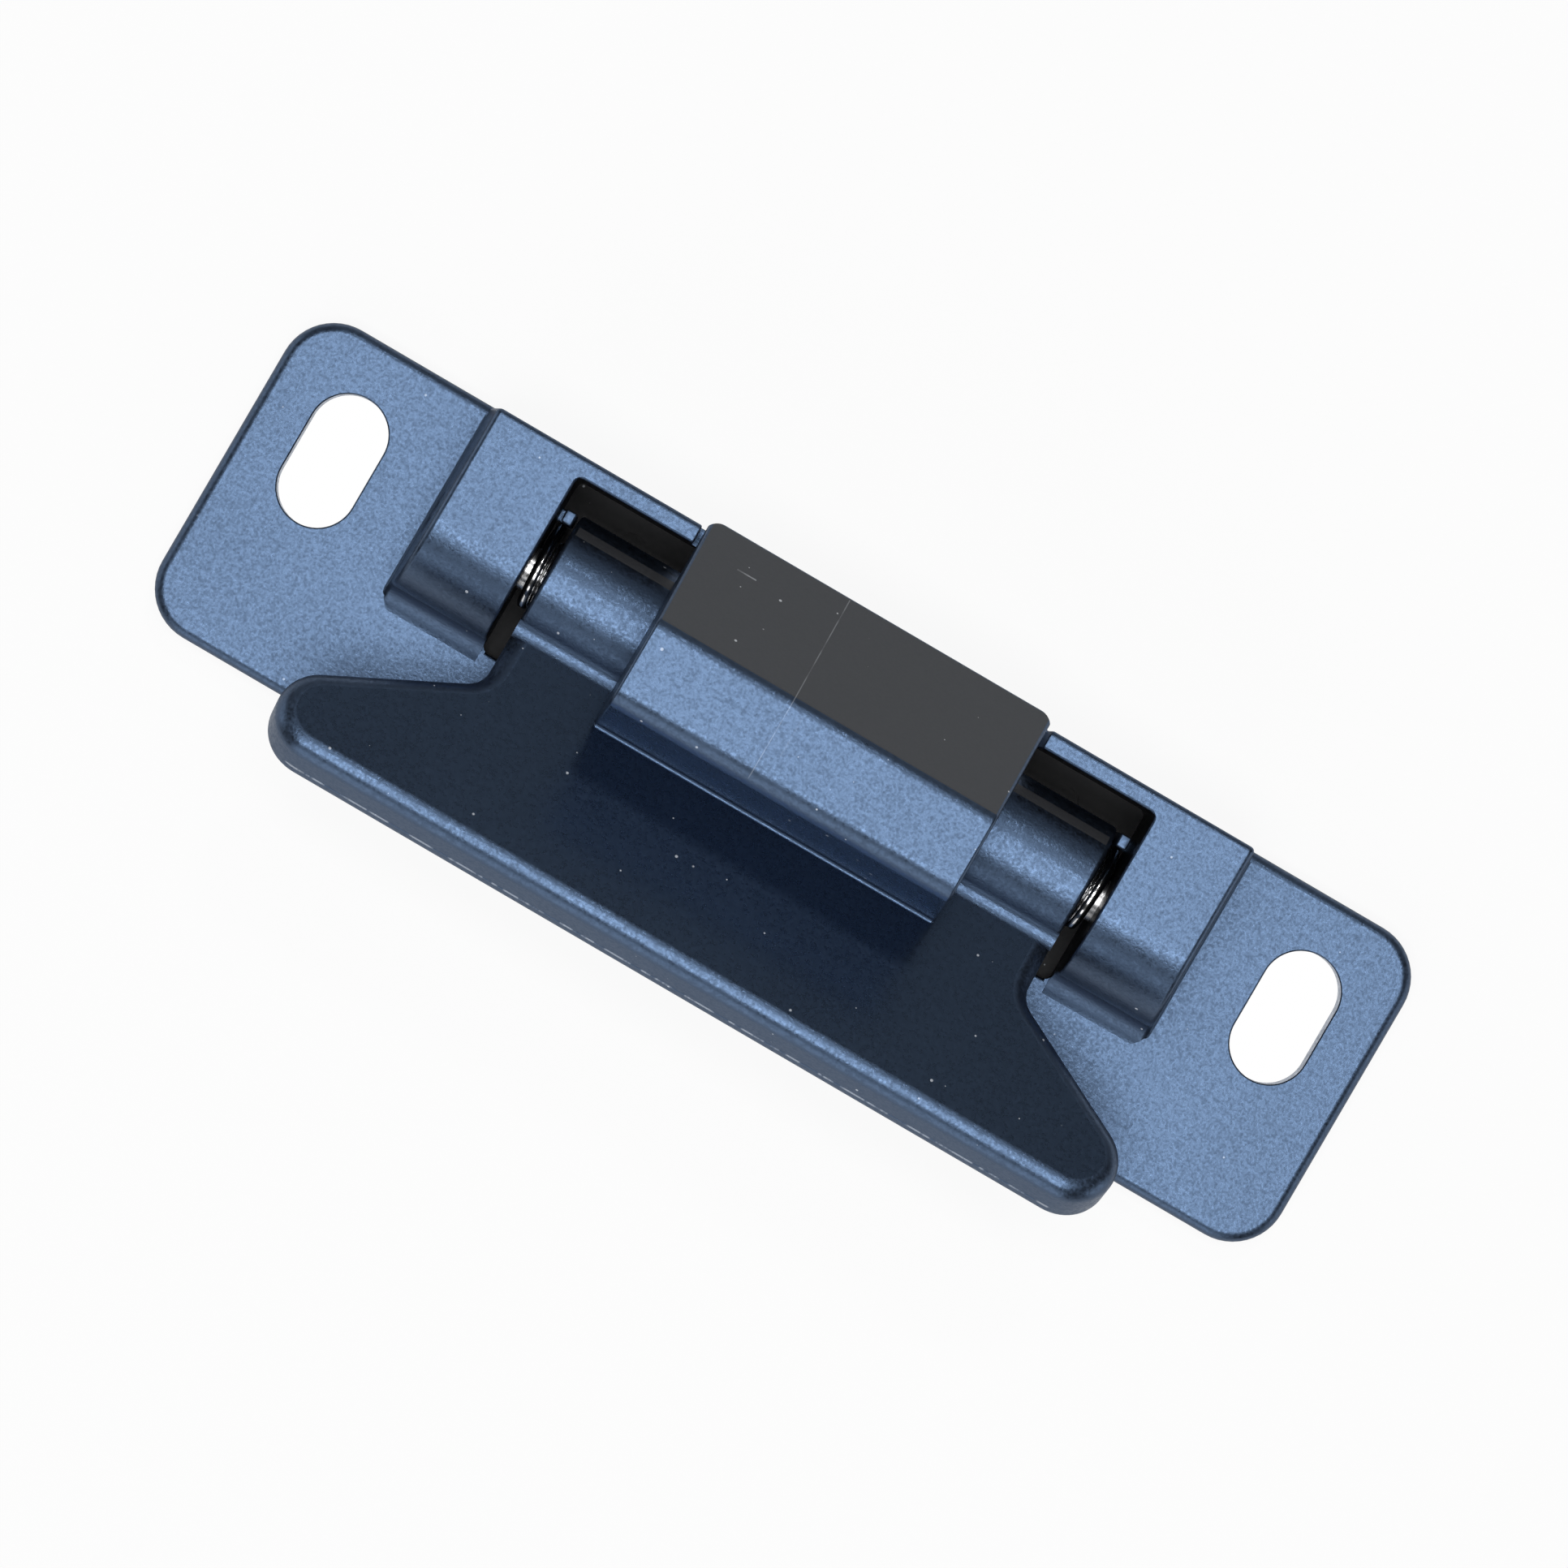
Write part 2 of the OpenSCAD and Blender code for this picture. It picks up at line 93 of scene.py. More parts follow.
# How far the rear wall runs into each cheek
REAR_WALL_LAP = 0.6
NOTCH_X = 13.05
NOTCH_SILL = 4.6
NOTCH_RIM = 0.12
LUG_X = 20.4
LUG_Y = 4.05
LUG_WIDTH = 0.9
LUG_TOP = 9.0
LUG_RIM = 0.12
# The lug's outer part is lower than its nib
LUG_NIB_X = 21.15
LUG_STEP = 2.5
PIN_SEAT_R = 1.52
PIN_SEAT_RIM = 0.15
# Round marks that the mould's ejectors leave on the pocket's floor
EJECTOR_X = 16.4
EJECTOR_Y = 4.85
EJECTOR_R = 1.1
EJECTOR_DEPTH = 0.1

# Lever moulding, measured from the pin's axis
BARREL_R = 4.7
BARREL_X = 20.15
BARREL_RIM = 0.3
PIN_BORE_R = 1.56
COIL_BORE_R = 2.7
COIL_BORE_END = 16.88
LEG_SLOT_WIDTH = 1.05
LEG_SLOT_DEPTH = 2.85
HEEL_FRONT = 1.6
HEEL_REAR = 4.18
HEEL_BOTTOM = -5.1
HEEL_RIM = 0.2
TILT = math.radians(30)
PADDLE_REACH = 20.4
PADDLE_THICKNESS = 3.8
PADDLE_RISE = 0.8
PADDLE_CORNER = 3.15
PADDLE_TOP_ROUND = 1.2
PADDLE_LOW_ROUND = 0.7
FLARE_START = 9.2
FLARE_SLOPE = math.radians(30.3)
FLARE_FILLET = 2.0
ROOT_FILLET = 1.0
# Thin line of flash left along the mould's parting, above the paddle's lower rounding
FLASH_HEIGHT = 1.1
FLASH_R = 0.09
FLASH_PROUD = 0.03
FLASH_X = 27.0
CLAW_X = 12.85
CLAW_DRAFT = 0.4
CLAW_RIM = 0.22
NOSE_REACH = 8.7
CATCH_Z = 4.0
NOSE_Z = 5.0
RAMP_SLOPE = math.radians(50)
CREST_LENGTH = 5.9
FRONT_LEAN = math.radians(10)
CLAW_WALL = 2.4
CLAW_END_WALL = 2.2
CATCH_DEPTH = 2.8
CREST_ROUND = 1.5
RAMP_ROUND = 1.2
NOSE_ROUND = 0.3
FOOT_FILLET = 0.22
NOSE_CORNER = 1.1
# Rounding inside the claw's hollow
HOLLOW_ROUND = 0.6

# Directions that the lever's flat faces look in
PADDLE_NORMAL = Vector((0, math.sin(TILT), math.cos(TILT)))
RAMP_NORMAL = Vector((0, math.sin(RAMP_SLOPE), math.cos(RAMP_SLOPE)))
FRONT_NORMAL = Vector((0, -math.cos(FRONT_LEAN), math.sin(FRONT_LEAN)))

# Springs, measured from the pin's axis
WIRE_R = 0.375
WIRE_DETAIL = 6
COIL_R = 2.175
COIL_OUTER_X = 20.975
COIL_INNER_X = 17.41
COIL_START = math.radians(15)
COIL_SWEEP = math.radians(1605)
FIXED_LEG = 4.34
MOVING_LEG = 2.7

# Modelling steps
ARC_STEP = math.radians(6)
ROUND_SIDES = 128
OVERLAP = 0.2
CLOSE = 0.01
# Points nearer than this are merged, and faces flatter than this are joined
WELD = 0.0005
FLAT = math.radians(0.2)
# How far a cutter runs past what it cuts
PAST = 1
# How far a foot is sunk in the plate, and a cutter is kept off a face it would share
SUNK = 0.03
# Where the walls on the plate start inside it, and how far the claw's root runs out and down in the paddle
ROOT_Z = 0.9
ROOT_REACH = 1.2
ROOT_DEPTH = 1.2
# Least part of an edge's direction that counts as along an axis, and greatest that counts as across it
ALONG = 0.9
ACROSS = 0.1
# How near a face's normal must be for it to count as lying in a plane
NEAR_NORMAL = math.radians(5)


def rounded(corners):
    """Outline through corners (u, v, radius), with an arc at each corner that has a radius."""
    points = []
    for i, (u, v, radius) in enumerate(corners):
        here = Vector((u, v))
        if not radius:
            points.append(here)
            continue
        back = (Vector(corners[i - 1][:2]) - here).normalized()
        ahead = (Vector(corners[(i + 1) % len(corners)][:2]) - here).normalized()
        half = back.angle(ahead) / 2
        centre = here + (back + ahead).normalized() * radius / math.sin(half)
        first = here + back * radius / math.tan(half) - centre
        last = here + ahead * radius / math.tan(half) - centre
        start = math.atan2(first.y, first.x)
        turn = math.atan2(last.y, last.x) - start
        turn -= 2 * math.pi * round(turn / (2 * math.pi))
        points += arc(centre, radius, start, start + turn)
    return points


def arc(centre, radius, start, end):
    """Points of an arc about a centre, from one angle to another."""
    steps = max(2, math.ceil(abs(end - start) / ARC_STEP))
    angles = [start + (end - start) * i / steps for i in range(steps + 1)]
    return [Vector(centre) + radius * Vector((math.cos(a), math.sin(a))) for a in angles]


def circle(centre, radius):
    """Points of a whole circle."""
    return arc(centre, radius, 0, 2 * math.pi)[:-1]


def use(piece):
    """Makes one piece the active and only selected one."""
    bpy.ops.object.select_all(action="DESELECT")
    piece.select_set(True)
    bpy.context.view_layer.objects.active = piece


def prism(name, outline, along, low, high):
    """A filled ring whose points are set on the outline, extruded along X, Y or Z."""
    bpy.ops.object.select_all(action="DESELECT")
    bpy.ops.mesh.primitive_circle_add(vertices=len(outline), fill_type="NGON")
    piece = bpy.context.object
    piece.name = name
    for vertex, (u, v) in zip(piece.data.vertices, outline):
        vertex.co = {"X": (low, u, v), "Y": (u, low, v), "Z": (u, v, low)}[along]
    step = Vector({"X": (1, 0, 0), "Y": (0, 1, 0), "Z": (0, 0, 1)}[along]) * (high - low)
    bpy.ops.object.mode_set(mode="EDIT")
    bpy.ops.mesh.select_all(action="SELECT")
    bpy.ops.mesh.extrude_region_move(TRANSFORM_OT_translate={"value": step})
    bpy.ops.mesh.select_all(action="SELECT")
    bpy.ops.mesh.normals_make_consistent(inside=False)
    bpy.ops.object.mode_set(mode="OBJECT")
    return piece


def block(name, low, high):
    """A box between two corners."""
    low, high = Vector(low), Vector(high)
    bpy.ops.object.select_all(action="DESELECT")
    bpy.ops.mesh.primitive_cube_add(size=1, location=(low + high) / 2, scale=high - low)
    piece = bpy.context.object
    piece.name = name
    bpy.ops.object.transform_apply(location=True, rotation=True, scale=True)
    return piece


def round_bar(name, radius, low, high):
    """A round bar on the pin's axis."""
    bpy.ops.object.select_all(action="DESELECT")
    bpy.ops.mesh.primitive_cylinder_add(
        vertices=ROUND_SIDES,
        radius=radius,
        depth=high - low,
        location=(AXIS.x + (low + high) / 2, AXIS.y, AXIS.z),
        rotation=(0, math.pi / 2, 0),
    )
    piece = bpy.context.object
    piece.name = name
    bpy.ops.object.transform_apply(location=True, rotation=True, scale=True)
    return piece


def shift(piece, step):
    """Moves a piece's mesh."""
    use(piece)
    bpy.ops.object.mode_set(mode="EDIT")
    bpy.ops.mesh.select_all(action="SELECT")
    bpy.ops.transform.translate(value=step)
    bpy.ops.object.mode_set(mode="OBJECT")
    return piece


def middle(edge):
    """Middle point of an edge."""
    return (edge.verts[0].co + edge.verts[1].co) / 2


def run(edge):
    """Direction of an edge, as the size of each part."""
    step = (edge.verts[1].co - edge.verts[0].co).normalized()
    return Vector((abs(step.x), abs(step.y), abs(step.z)))


def bevel(piece, chosen, width, segments):
    """Rounds the edges that the test picks."""
    use(piece)
    bpy.ops.object.mode_set(mode="EDIT")
    bpy.ops.mesh.select_mode(type="EDGE")
    bpy.ops.mesh.select_all(action="DESELECT")
    mesh = bmesh.from_edit_mesh(piece.data)
    mesh.normal_update()
    for edge in mesh.edges:
        if len(edge.link_faces) == 2 and chosen(edge):
            edge.select_set(True)
    bmesh.update_edit_mesh(piece.data)
    bpy.ops.mesh.bevel(
        offset=width, offset_type="OFFSET", segments=segments, affect="EDGES", clamp_overlap=False
    )
    bpy.ops.object.mode_set(mode="OBJECT")


def combine(piece, other, operation):
    """Joins another solid to a piece, cuts it out, or keeps what both share."""
    use(piece)
    modifier = piece.modifiers.new("combine", "BOOLEAN")
    modifier.operation = operation
    modifier.solver = "EXACT"
    modifier.object = other
    bpy.ops.object.modifier_apply(modifier=modifier.name)
    bpy.data.objects.remove(other)
    bpy.ops.object.mode_set(mode="EDIT")
    bpy.ops.mesh.select_all(action="SELECT")
    bpy.ops.mesh.remove_doubles(threshold=WELD)
    bpy.ops.mesh.dissolve_degenerate(threshold=WELD)
    bpy.ops.mesh.dissolve_limited(angle_limit=FLAT)
    bpy.ops.object.mode_set(mode="OBJECT")


def sharp(edge, least=40):
    """True for an outer corner sharper than the given turn, in degrees."""
    return edge.calc_face_angle_signed(0) > math.radians(least)


def hollow_corner(edge, least=40):
    """True for an inner corner sharper than the given turn, in degrees."""
    return edge.calc_face_angle_signed(0) < -math.radians(least)


def from_axis(point):
    """Distance of a point from the pin's axis."""
    return math.hypot(point.y - AXIS.y, point.z - AXIS.z)


def make_plate():
    plate = block("base_moulding", (base_low.x, base_low.y, 0), (base_high.x, REAR_Y, PLATE_THICKNESS))
    bevel(plate, lambda e: run(e).z > ALONG, PLATE_CORNER, segments=12)
    bevel(plate, lambda e: middle(e).z > PLATE_THICKNESS - CLOSE, PLATE_ROUND, segments=6)
    bevel(plate, lambda e: middle(e).z < CLOSE, PLATE_BACK_ROUND, segments=2)
    return plate


def make_cheek(side):
    shoulder_y = AXIS.y - SHOULDER
    foot_y = shoulder_y - CHEEK_FILLET
    foot_z = PLATE_THICKNESS - SUNK
    toe_y = foot_y - 2 * OVERLAP
    outline = rounded([
        (REAR_Y, ROOT_Z, 0), (REAR_Y, HOUSE_TOP, CHEEK_EDGE), (shoulder_y, HOUSE_TOP, SHOULDER),
        (shoulder_y, foot_z, CHEEK_FILLET), (toe_y, foot_z, 0), (toe_y, ROOT_Z, 0),
    ])
    inner, outer = side * POCKET_X, side * CHEEK_X
    cheek = prism("cheek", outline, "X", min(inner, outer), max(inner, outer))
    lean = CHEEK_DRAFT / (HOUSE_TOP - PLATE_THICKNESS)
    for vertex in cheek.data.vertices:
        if abs(vertex.co.x - outer) < CLOSE:
            vertex.co.x -= side * lean * (vertex.co.z - PLATE_THICKNESS)

    def outer_rim(edge):
        return all(abs(abs(v.co.x) - CHEEK_X) < 2 * CHEEK_DRAFT for v in edge.verts) and sharp(edge, 60)

    bevel(cheek, outer_rim, CHEEK_RIM, segments=4)
    plan_inner, plan_outer = side * (POCKET_X - PAST), side * (CHEEK_X + CLOSE)
    plan = prism("cheek_plan", rounded([
        (plan_inner, foot_y - CLOSE, 0), (plan_outer, foot_y - CLOSE, CHEEK_CORNER),
        (plan_outer, REAR_Y + PAST, 0), (plan_inner, REAR_Y + PAST, 0),
    ]), "Z", 0, HOUSE_TOP + PAST)
    combine(cheek, plan, "INTERSECT")
    return cheek


def make_rear_wall():
    """Rear wall from cheek to cheek, thicker than it ends up: the pocket's cut rounds its corners."""
    inner_y = REAR_Y - REAR_WALL - POCKET_CORNER
    outline = rounded([
        (inner_y, ROOT_Z, 0), (REAR_Y, ROOT_Z, 0), (REAR_Y, HOUSE_TOP, CHEEK_EDGE), (inner_y, HOUSE_TOP, 0),
    ])
    end_x = POCKET_X + REAR_WALL_LAP
    return prism("rear_wall", outline, "X", -end_x, end_x)


def make_pocket():
    wall_x = POCKET_X + SUNK
    front, rear = AXIS.y - POCKET_REACH, REAR_Y - REAR_WALL
    return prism("pocket", rounded([
        (-wall_x, front, POCKET_CORNER), (wall_x, front, POCKET_CORNER),
        (wall_x, rear, POCKET_CORNER), (-wall_x, rear, POCKET_CORNER),
    ]), "Z", POCKET_FLOOR, HOUSE_TOP + PAST)


def make_core(side):
    """Hollow of a cheek, open at the mounting face."""
    front = AXIS.y - SHOULDER + CORE_WALL
    rear = REAR_Y - CORE_WALL
    top = HOUSE_TOP - CORE_WALL
    low, high = sorted((side * (POCKET_X + CORE_WALL), side * (CHEEK_X - CHEEK_DRAFT - CORE_WALL)))
    return prism("core", rounded([
        (rear, -PAST, 0), (rear, top, CHEEK_EDGE), (front, top, SHOULDER - CORE_WALL), (front, -PAST, 0),
    ]), "X", low, high)


def make_lug(side):
    """Lug that the spring's fixed leg bears on, with a nib beside the barrel's end."""
    low, high = sorted((side * LUG_X, side * (POCKET_X + OVERLAP)))
    lug = block("lug", (low, LUG_Y, POCKET_FLOOR - OVERLAP), (high, LUG_Y + LUG_WIDTH, LUG_TOP))
    low, high = sorted((side * LUG_NIB_X, side * (POCKET_X + PAST)))
    step = block("step", (low, LUG_Y - PAST, LUG_STEP), (high, LUG_Y + LUG_WIDTH + PAST, LUG_TOP + PAST))
    combine(lug, step, "DIFFERENCE")

    def rim(edge):
        return sharp(edge) and abs(middle(edge).x) < POCKET_X and middle(edge).z > LUG_STEP - CLOSE

    bevel(lug, rim, LUG_RIM, segments=3)
    return lug


def slot_outline(x):
    half_y, half_x = SLOT_LENGTH / 2, SLOT_WIDTH / 2
    near_half = half_x - CLOSE / 10
    return rounded([
        (x - half_x, -half_y, near_half), (x + half_x, -half_y, near_half),
        (x + half_x, half_y, near_half), (x - half_x, half_y, near_half),
    ])


def make_base():
    base = make_plate()
    for side in (-1, 1):
        combine(base, make_cheek(side), "UNION")
    combine(base, make_rear_wall(), "UNION")
    combine(base, make_pocket(), "DIFFERENCE")

    def cheek_foot(edge):
        at = middle(edge)
        beside = abs(abs(at.x) - CHEEK_X) < OVERLAP and abs(at.z - PLATE_THICKNESS) < CLOSE
        return beside and hollow_corner(edge, 50) and run(edge).y > ALONG

    def pocket_rim(edge):
        at = middle(edge)
        within = abs(at.x) < POCKET_X + SUNK + CLOSE and at.y < REAR_Y - REAR_WALL + CLOSE
        return within and at.z > PLATE_THICKNESS + PAST and sharp(edge, 60)

    def pocket_lip(edge):
        at = middle(edge)
        within = abs(at.x) < POCKET_X and at.y < AXIS.y
        return within and abs(at.z - PLATE_THICKNESS) < CLOSE and sharp(edge, 60) and run(edge).x > ALONG

    bevel(base, cheek_foot, CHEEK_FOOT_FILLET, segments=3)
    bevel(base, pocket_rim, POCKET_RIM, segments=3)
    bevel(base, pocket_lip, POCKET_LIP, segments=3)
    notch_front = REAR_Y - REAR_WALL - PAST
    notch = block("notch", (-NOTCH_X, notch_front, NOTCH_SILL), (NOTCH_X, REAR_Y + PAST, HOUSE_TOP + PAST))
    combine(base, notch, "DIFFERENCE")

    def notch_rim(edge):
        end = all(abs(abs(v.co.x) - NOTCH_X) < CLOSE for v in edge.verts)
        sill = abs(middle(edge).z - NOTCH_SILL) < CLOSE and run(edge).x > ALONG
        return (end or sill) and middle(edge).z > NOTCH_SILL - CLOSE and sharp(edge, 30)

    bevel(base, notch_rim, NOTCH_RIM, segments=2)
    for side in (-1, 1):
        slot = prism("slot", slot_outline(side * SLOT_X), "Z", -PAST, PLATE_THICKNESS + PAST)
        combine(base, slot, "DIFFERENCE")
        inner, outer = sorted((side * (POCKET_X - OVERLAP), side * (CHEEK_X + PAST)))
        combine(base, round_bar("pin_seat", PIN_SEAT_R, inner, outer), "DIFFERENCE")
        combine(base, make_core(side), "DIFFERENCE")
        combine(base, make_lug(side), "UNION")
        mark = circle((side * EJECTOR_X, EJECTOR_Y), EJECTOR_R)
        mark = prism("ejector_mark", mark, "Z", POCKET_FLOOR - EJECTOR_DEPTH, POCKET_FLOOR + PAST)
        combine(base, mark, "DIFFERENCE")

    def slot_rim(edge):
        at = middle(edge)
        within = abs(abs(at.x) - SLOT_X) < SLOT_WIDTH / 2 + CLOSE and abs(at.y) < SLOT_LENGTH / 2 + CLOSE
        return within and sharp(edge, 60)

    def seat_rim(edge):
        near = all(abs(from_axis(v.co) - PIN_SEAT_R) < 2 * CLOSE for v in edge.verts)
        return near and abs(middle(edge).x) > CHEEK_X - PAST and sharp(edge, 50)

    bevel(base, slot_rim, SLOT_RIM, segments=3)
    bevel(base, seat_rim, PIN_SEAT_RIM, segments=2)
    return base


def paddle_outline():
    """Plan of the flat paddle, its front edge towards -Y."""
    tip_x = BARREL_X + (PADDLE_REACH - FLARE_START) / math.tan(FLARE_SLOPE)
    right = [
        (BARREL_X, 0, 0), (BARREL_X, -FLARE_START, FLARE_FILLET), (tip_x, -PADDLE_REACH, PADDLE_CORNER),
    ]
    return rounded(right + [(-x, y, radius) for x, y, radius in reversed(right)])


def make_paddle():
    top = PADDLE_RISE
    bottom = top - PADDLE_THICKNESS
    paddle = prism("paddle", paddle_outline(), "Z", bottom, top)

    def outer(edge):
        return middle(edge).y < -CLOSE

    bevel(paddle, lambda e: outer(e) and middle(e).z > top - CLOSE, PADDLE_TOP_ROUND, segments=7)
    bevel(paddle, lambda e: outer(e) and middle(e).z < bottom + CLOSE, PADDLE_LOW_ROUND, segments=5)
    return paddle


def make_flash():
    centre = (FLASH_R - PADDLE_REACH - FLASH_PROUD, PADDLE_RISE - PADDLE_THICKNESS + FLASH_HEIGHT)
    return prism("flash", circle(centre, FLASH_R), "X", -FLASH_X, FLASH_X)


def make_root_fillet():
    centre_z = ROOT_FILLET + PADDLE_RISE
    centre_y = -math.sqrt((BARREL_R + ROOT_FILLET) ** 2 - centre_z ** 2)
    low = PADDLE_RISE - OVERLAP
    outline = [Vector((centre_y, low)), Vector((OVERLAP - BARREL_R, low))]
    outline += arc((centre_y, centre_z), ROOT_FILLET, math.atan2(-centre_z, -centre_y), -math.pi / 2)
    return prism("root_fillet", outline, "X", -BARREL_X, BARREL_X)


def tilt(piece):
    """Turns a piece that was modelled flat up to the paddle's slope, and sets it on the pin's axis."""
    piece.data.transform(Matrix.Translation(AXIS) @ Matrix.Rotation(-TILT, 4, "X"))
    return piece


def claw_outline():
    crest_y = NOSE_REACH - (CREST - NOSE_Z) / math.tan(RAMP_SLOPE)
    top = Vector((crest_y - CREST_LENGTH, CREST))
    slope = Vector((-math.cos(TILT), math.sin(TILT)))
    up = Vector((math.sin(TILT), math.cos(TILT)))
    lean = Vector((-math.sin(FRONT_LEAN), -math.cos(FRONT_LEAN)))
    foot = top - lean * ((top.dot(up) - PADDLE_RISE) / lean.dot(up))
    toe = foot + slope * ROOT_REACH
    under = toe - ROOT_DEPTH * up
    root_y = BARREL_R - 2 * OVERLAP
    return rounded([
        (NOSE_REACH, CATCH_Z, NOSE_ROUND), (NOSE_REACH, NOSE_Z, NOSE_ROUND),
        (crest_y, CREST, RAMP_ROUND), (top.x, top.y, CREST_ROUND), (foot.x, foot.y, FOOT_FILLET),
        (toe.x, toe.y, 0), (under.x, under.y, 0), (0, -ROOT_DEPTH, 0),
        (root_y, -ROOT_DEPTH, 0), (root_y, CATCH_Z, 0),
    ])


def hollow_outline():
    crest_y = NOSE_REACH - (CREST - NOSE_Z) / math.tan(RAMP_SLOPE)
    lip_y = NOSE_REACH - CATCH_DEPTH
    roof_z = CREST - CLAW_WALL
    inner_y = NOSE_REACH - CLAW_WALL / math.sin(RAMP_SLOPE)
    lip_z = NOSE_Z + (inner_y - lip_y) * math.tan(RAMP_SLOPE)
    roof_rear_y = inner_y - (roof_z - NOSE_Z) / math.tan(RAMP_SLOPE)
    top_y = crest_y - CREST_LENGTH + CLAW_WALL / math.cos(FRONT_LEAN)
    roof_front_y = top_y - (CREST - roof_z) * math.tan(FRONT_LEAN)
    low_front_y = top_y - CREST * math.tan(FRONT_LEAN)
    return rounded([
        (lip_y, 0, 0), (lip_y, lip_z, HOLLOW_ROUND / 2), (roof_rear_y, roof_z, HOLLOW_ROUND),
        (roof_front_y, roof_z, HOLLOW_ROUND), (low_front_y, 0, 0),
    ])


def make_claw():
    claw = prism("claw", claw_outline(), "X", -CLAW_X, CLAW_X)
    for vertex in claw.data.vertices:
        vertex.co.x -= math.copysign(CLAW_DRAFT * vertex.co.z / CREST, vertex.co.x)
    bevel(claw, lambda e: run(e).x < ACROSS, CLAW_RIM, segments=3)
    plan_x = CLAW_X + CLOSE
    plan = prism("claw_plan", rounded([
        (-plan_x, -PADDLE_REACH, 0), (plan_x, -PADDLE_REACH, 0),
        (plan_x, NOSE_REACH, NOSE_CORNER), (-plan_x, NOSE_REACH, NOSE_CORNER),
    ]), "Z", -CREST, 2 * CREST)
    combine(claw, plan, "INTERSECT")
    hollow_x = CLAW_X - CLAW_END_WALL
    combine(claw, prism("hollow", hollow_outline(), "X", -hollow_x, hollow_x), "DIFFERENCE")
    return shift(claw, AXIS)


def make_heel():
    heel = prism("heel", [
        Vector((0, 0)), Vector((0, -BARREL_R)), Vector((HEEL_FRONT, HEEL_BOTTOM)),
        Vector((HEEL_REAR, HEEL_BOTTOM)), Vector((HEEL_REAR, 0)),
    ], "X", -BARREL_X, BARREL_X)
    bevel(heel, lambda e: middle(e).z < HEEL_BOTTOM + CLOSE, HEEL_RIM, segments=3)
    return shift(heel, AXIS)


def make_lever():
    lever = round_bar("lever_moulding", BARREL_R, -BARREL_X, BARREL_X)
    bevel(lever, lambda e: sharp(e, 60), BARREL_RIM, segments=4)
    combine(lever, make_heel(), "UNION")
    combine(lever, tilt(make_root_fillet()), "UNION")
    combine(lever, tilt(make_paddle()), "UNION")
    combine(lever, make_claw(), "UNION")
    combine(lever, tilt(make_flash()), "UNION")
    combine(lever, round_bar("pin_bore", PIN_BORE_R, -BARREL_X - PAST, BARREL_X + PAST), "DIFFERENCE")
    for side in (-1, 1):
        low, high = sorted((side * COIL_BORE_END, side * (BARREL_X + PAST)))
        combine(lever, round_bar("coil_bore", COIL_BORE_R, low, high), "DIFFERENCE")
        slot_low, slot_high = sorted((side * (COIL_BORE_END + SUNK), side * (BARREL_X + 2 * PAST)))
        leg_y = AXIS.y - COIL_R
        slot = block(
            "leg_slot",
            (slot_low, leg_y - LEG_SLOT_WIDTH / 2, AXIS.z - LEG_SLOT_DEPTH),
            (slot_high, leg_y + LEG_SLOT_WIDTH / 2, AXIS.z - LEG_SLOT_WIDTH / 2),
        )
        combine(lever, slot, "DIFFERENCE")
    return lever


def spring_path(side):
    """Centre line of a spring's wire: fixed leg, coil and moving leg."""
    start = COIL_R * Vector((math.cos(COIL_START), math.sin(COIL_START)))
    tip = start + FIXED_LEG * Vector((math.sin(COIL_START), -math.cos(COIL_START)))
    rings = round(COIL_SWEEP / ARC_STEP)
    path = [(COIL_OUTER_X, tip.x, tip.y)]
    for i in range(rings + 1):
        share = i / rings
        angle = COIL_START + COIL_SWEEP * share
        x = COIL_OUTER_X + (COIL_INNER_X - COIL_OUTER_X) * share
        path.append((x, COIL_R * math.cos(angle), COIL_R * math.sin(angle)))
    path.append((COIL_INNER_X, path[-1][1], path[-1][2] - MOVING_LEG))
    return [AXIS + Vector((side * x, y, z)) for x, y, z in path]


def make_spring(name, side):
    path = spring_path(side)
    curve = bpy.data.curves.new(name, "CURVE")
    curve.dimensions = "3D"
    curve.bevel_depth = WIRE_R
    curve.bevel_resolution = WIRE_DETAIL
    curve.use_fill_caps = True
    spline = curve.splines.new("POLY")
    spline.points.add(len(path) - 1)
    for point, place in zip(spline.points, path):
        point.co = (*place, 1)
    wire = bpy.data.objects.new(name, curve)
    bpy.context.scene.collection.objects.link(wire)
    use(wire)
    bpy.ops.object.convert(target="MESH")
    bpy.ops.object.mode_set(mode="EDIT")
    bpy.ops.mesh.select_all(action="SELECT")
    bpy.ops.mesh.remove_doubles(threshold=WELD)
    bpy.ops.object.mode_set(mode="OBJECT")
    return bpy.context.object


def to_metres(piece, smooth_angle=35):
    """Brings a finished piece to metres and gives it smooth faces with crisp flats."""
    use(piece)
    piece.scale = (MM, MM, MM)
    bpy.ops.object.transform_apply(location=True, rotation=True, scale=True)
    bpy.ops.object.mode_set(mode="EDIT")
    bpy.ops.mesh.select_all(action="SELECT")
    bpy.ops.mesh.normals_make_consistent(inside=False)
    bpy.ops.object.mode_set(mode="OBJECT")
    bpy.ops.object.shade_smooth_by_angle(angle=math.radians(smooth_angle))
    flats = piece.modifiers.new("crisp_flats", "WEIGHTED_NORMAL")
    flats.keep_sharp = True
    bpy.ops.object.modifier_apply(modifier=flats.name)
    return piece


# Shader building: values are numbers or other nodes' outputs, lengths are in metres


def feed(tree, socket, value):
    """Sets an input to a constant, or links it to another node's output."""
    if isinstance(value, bpy.types.NodeSocket):
        tree.links.new(value, socket)
    else:
        socket.default_value = value


def compute(tree, operation, *values):
    """Result of one sum on numbers or outputs."""
    node = tree.nodes.new("ShaderNodeMath")
    node.operation = operation
    for socket, value in zip(node.inputs, values):
        feed(tree, socket, value)
    return node.outputs[0]


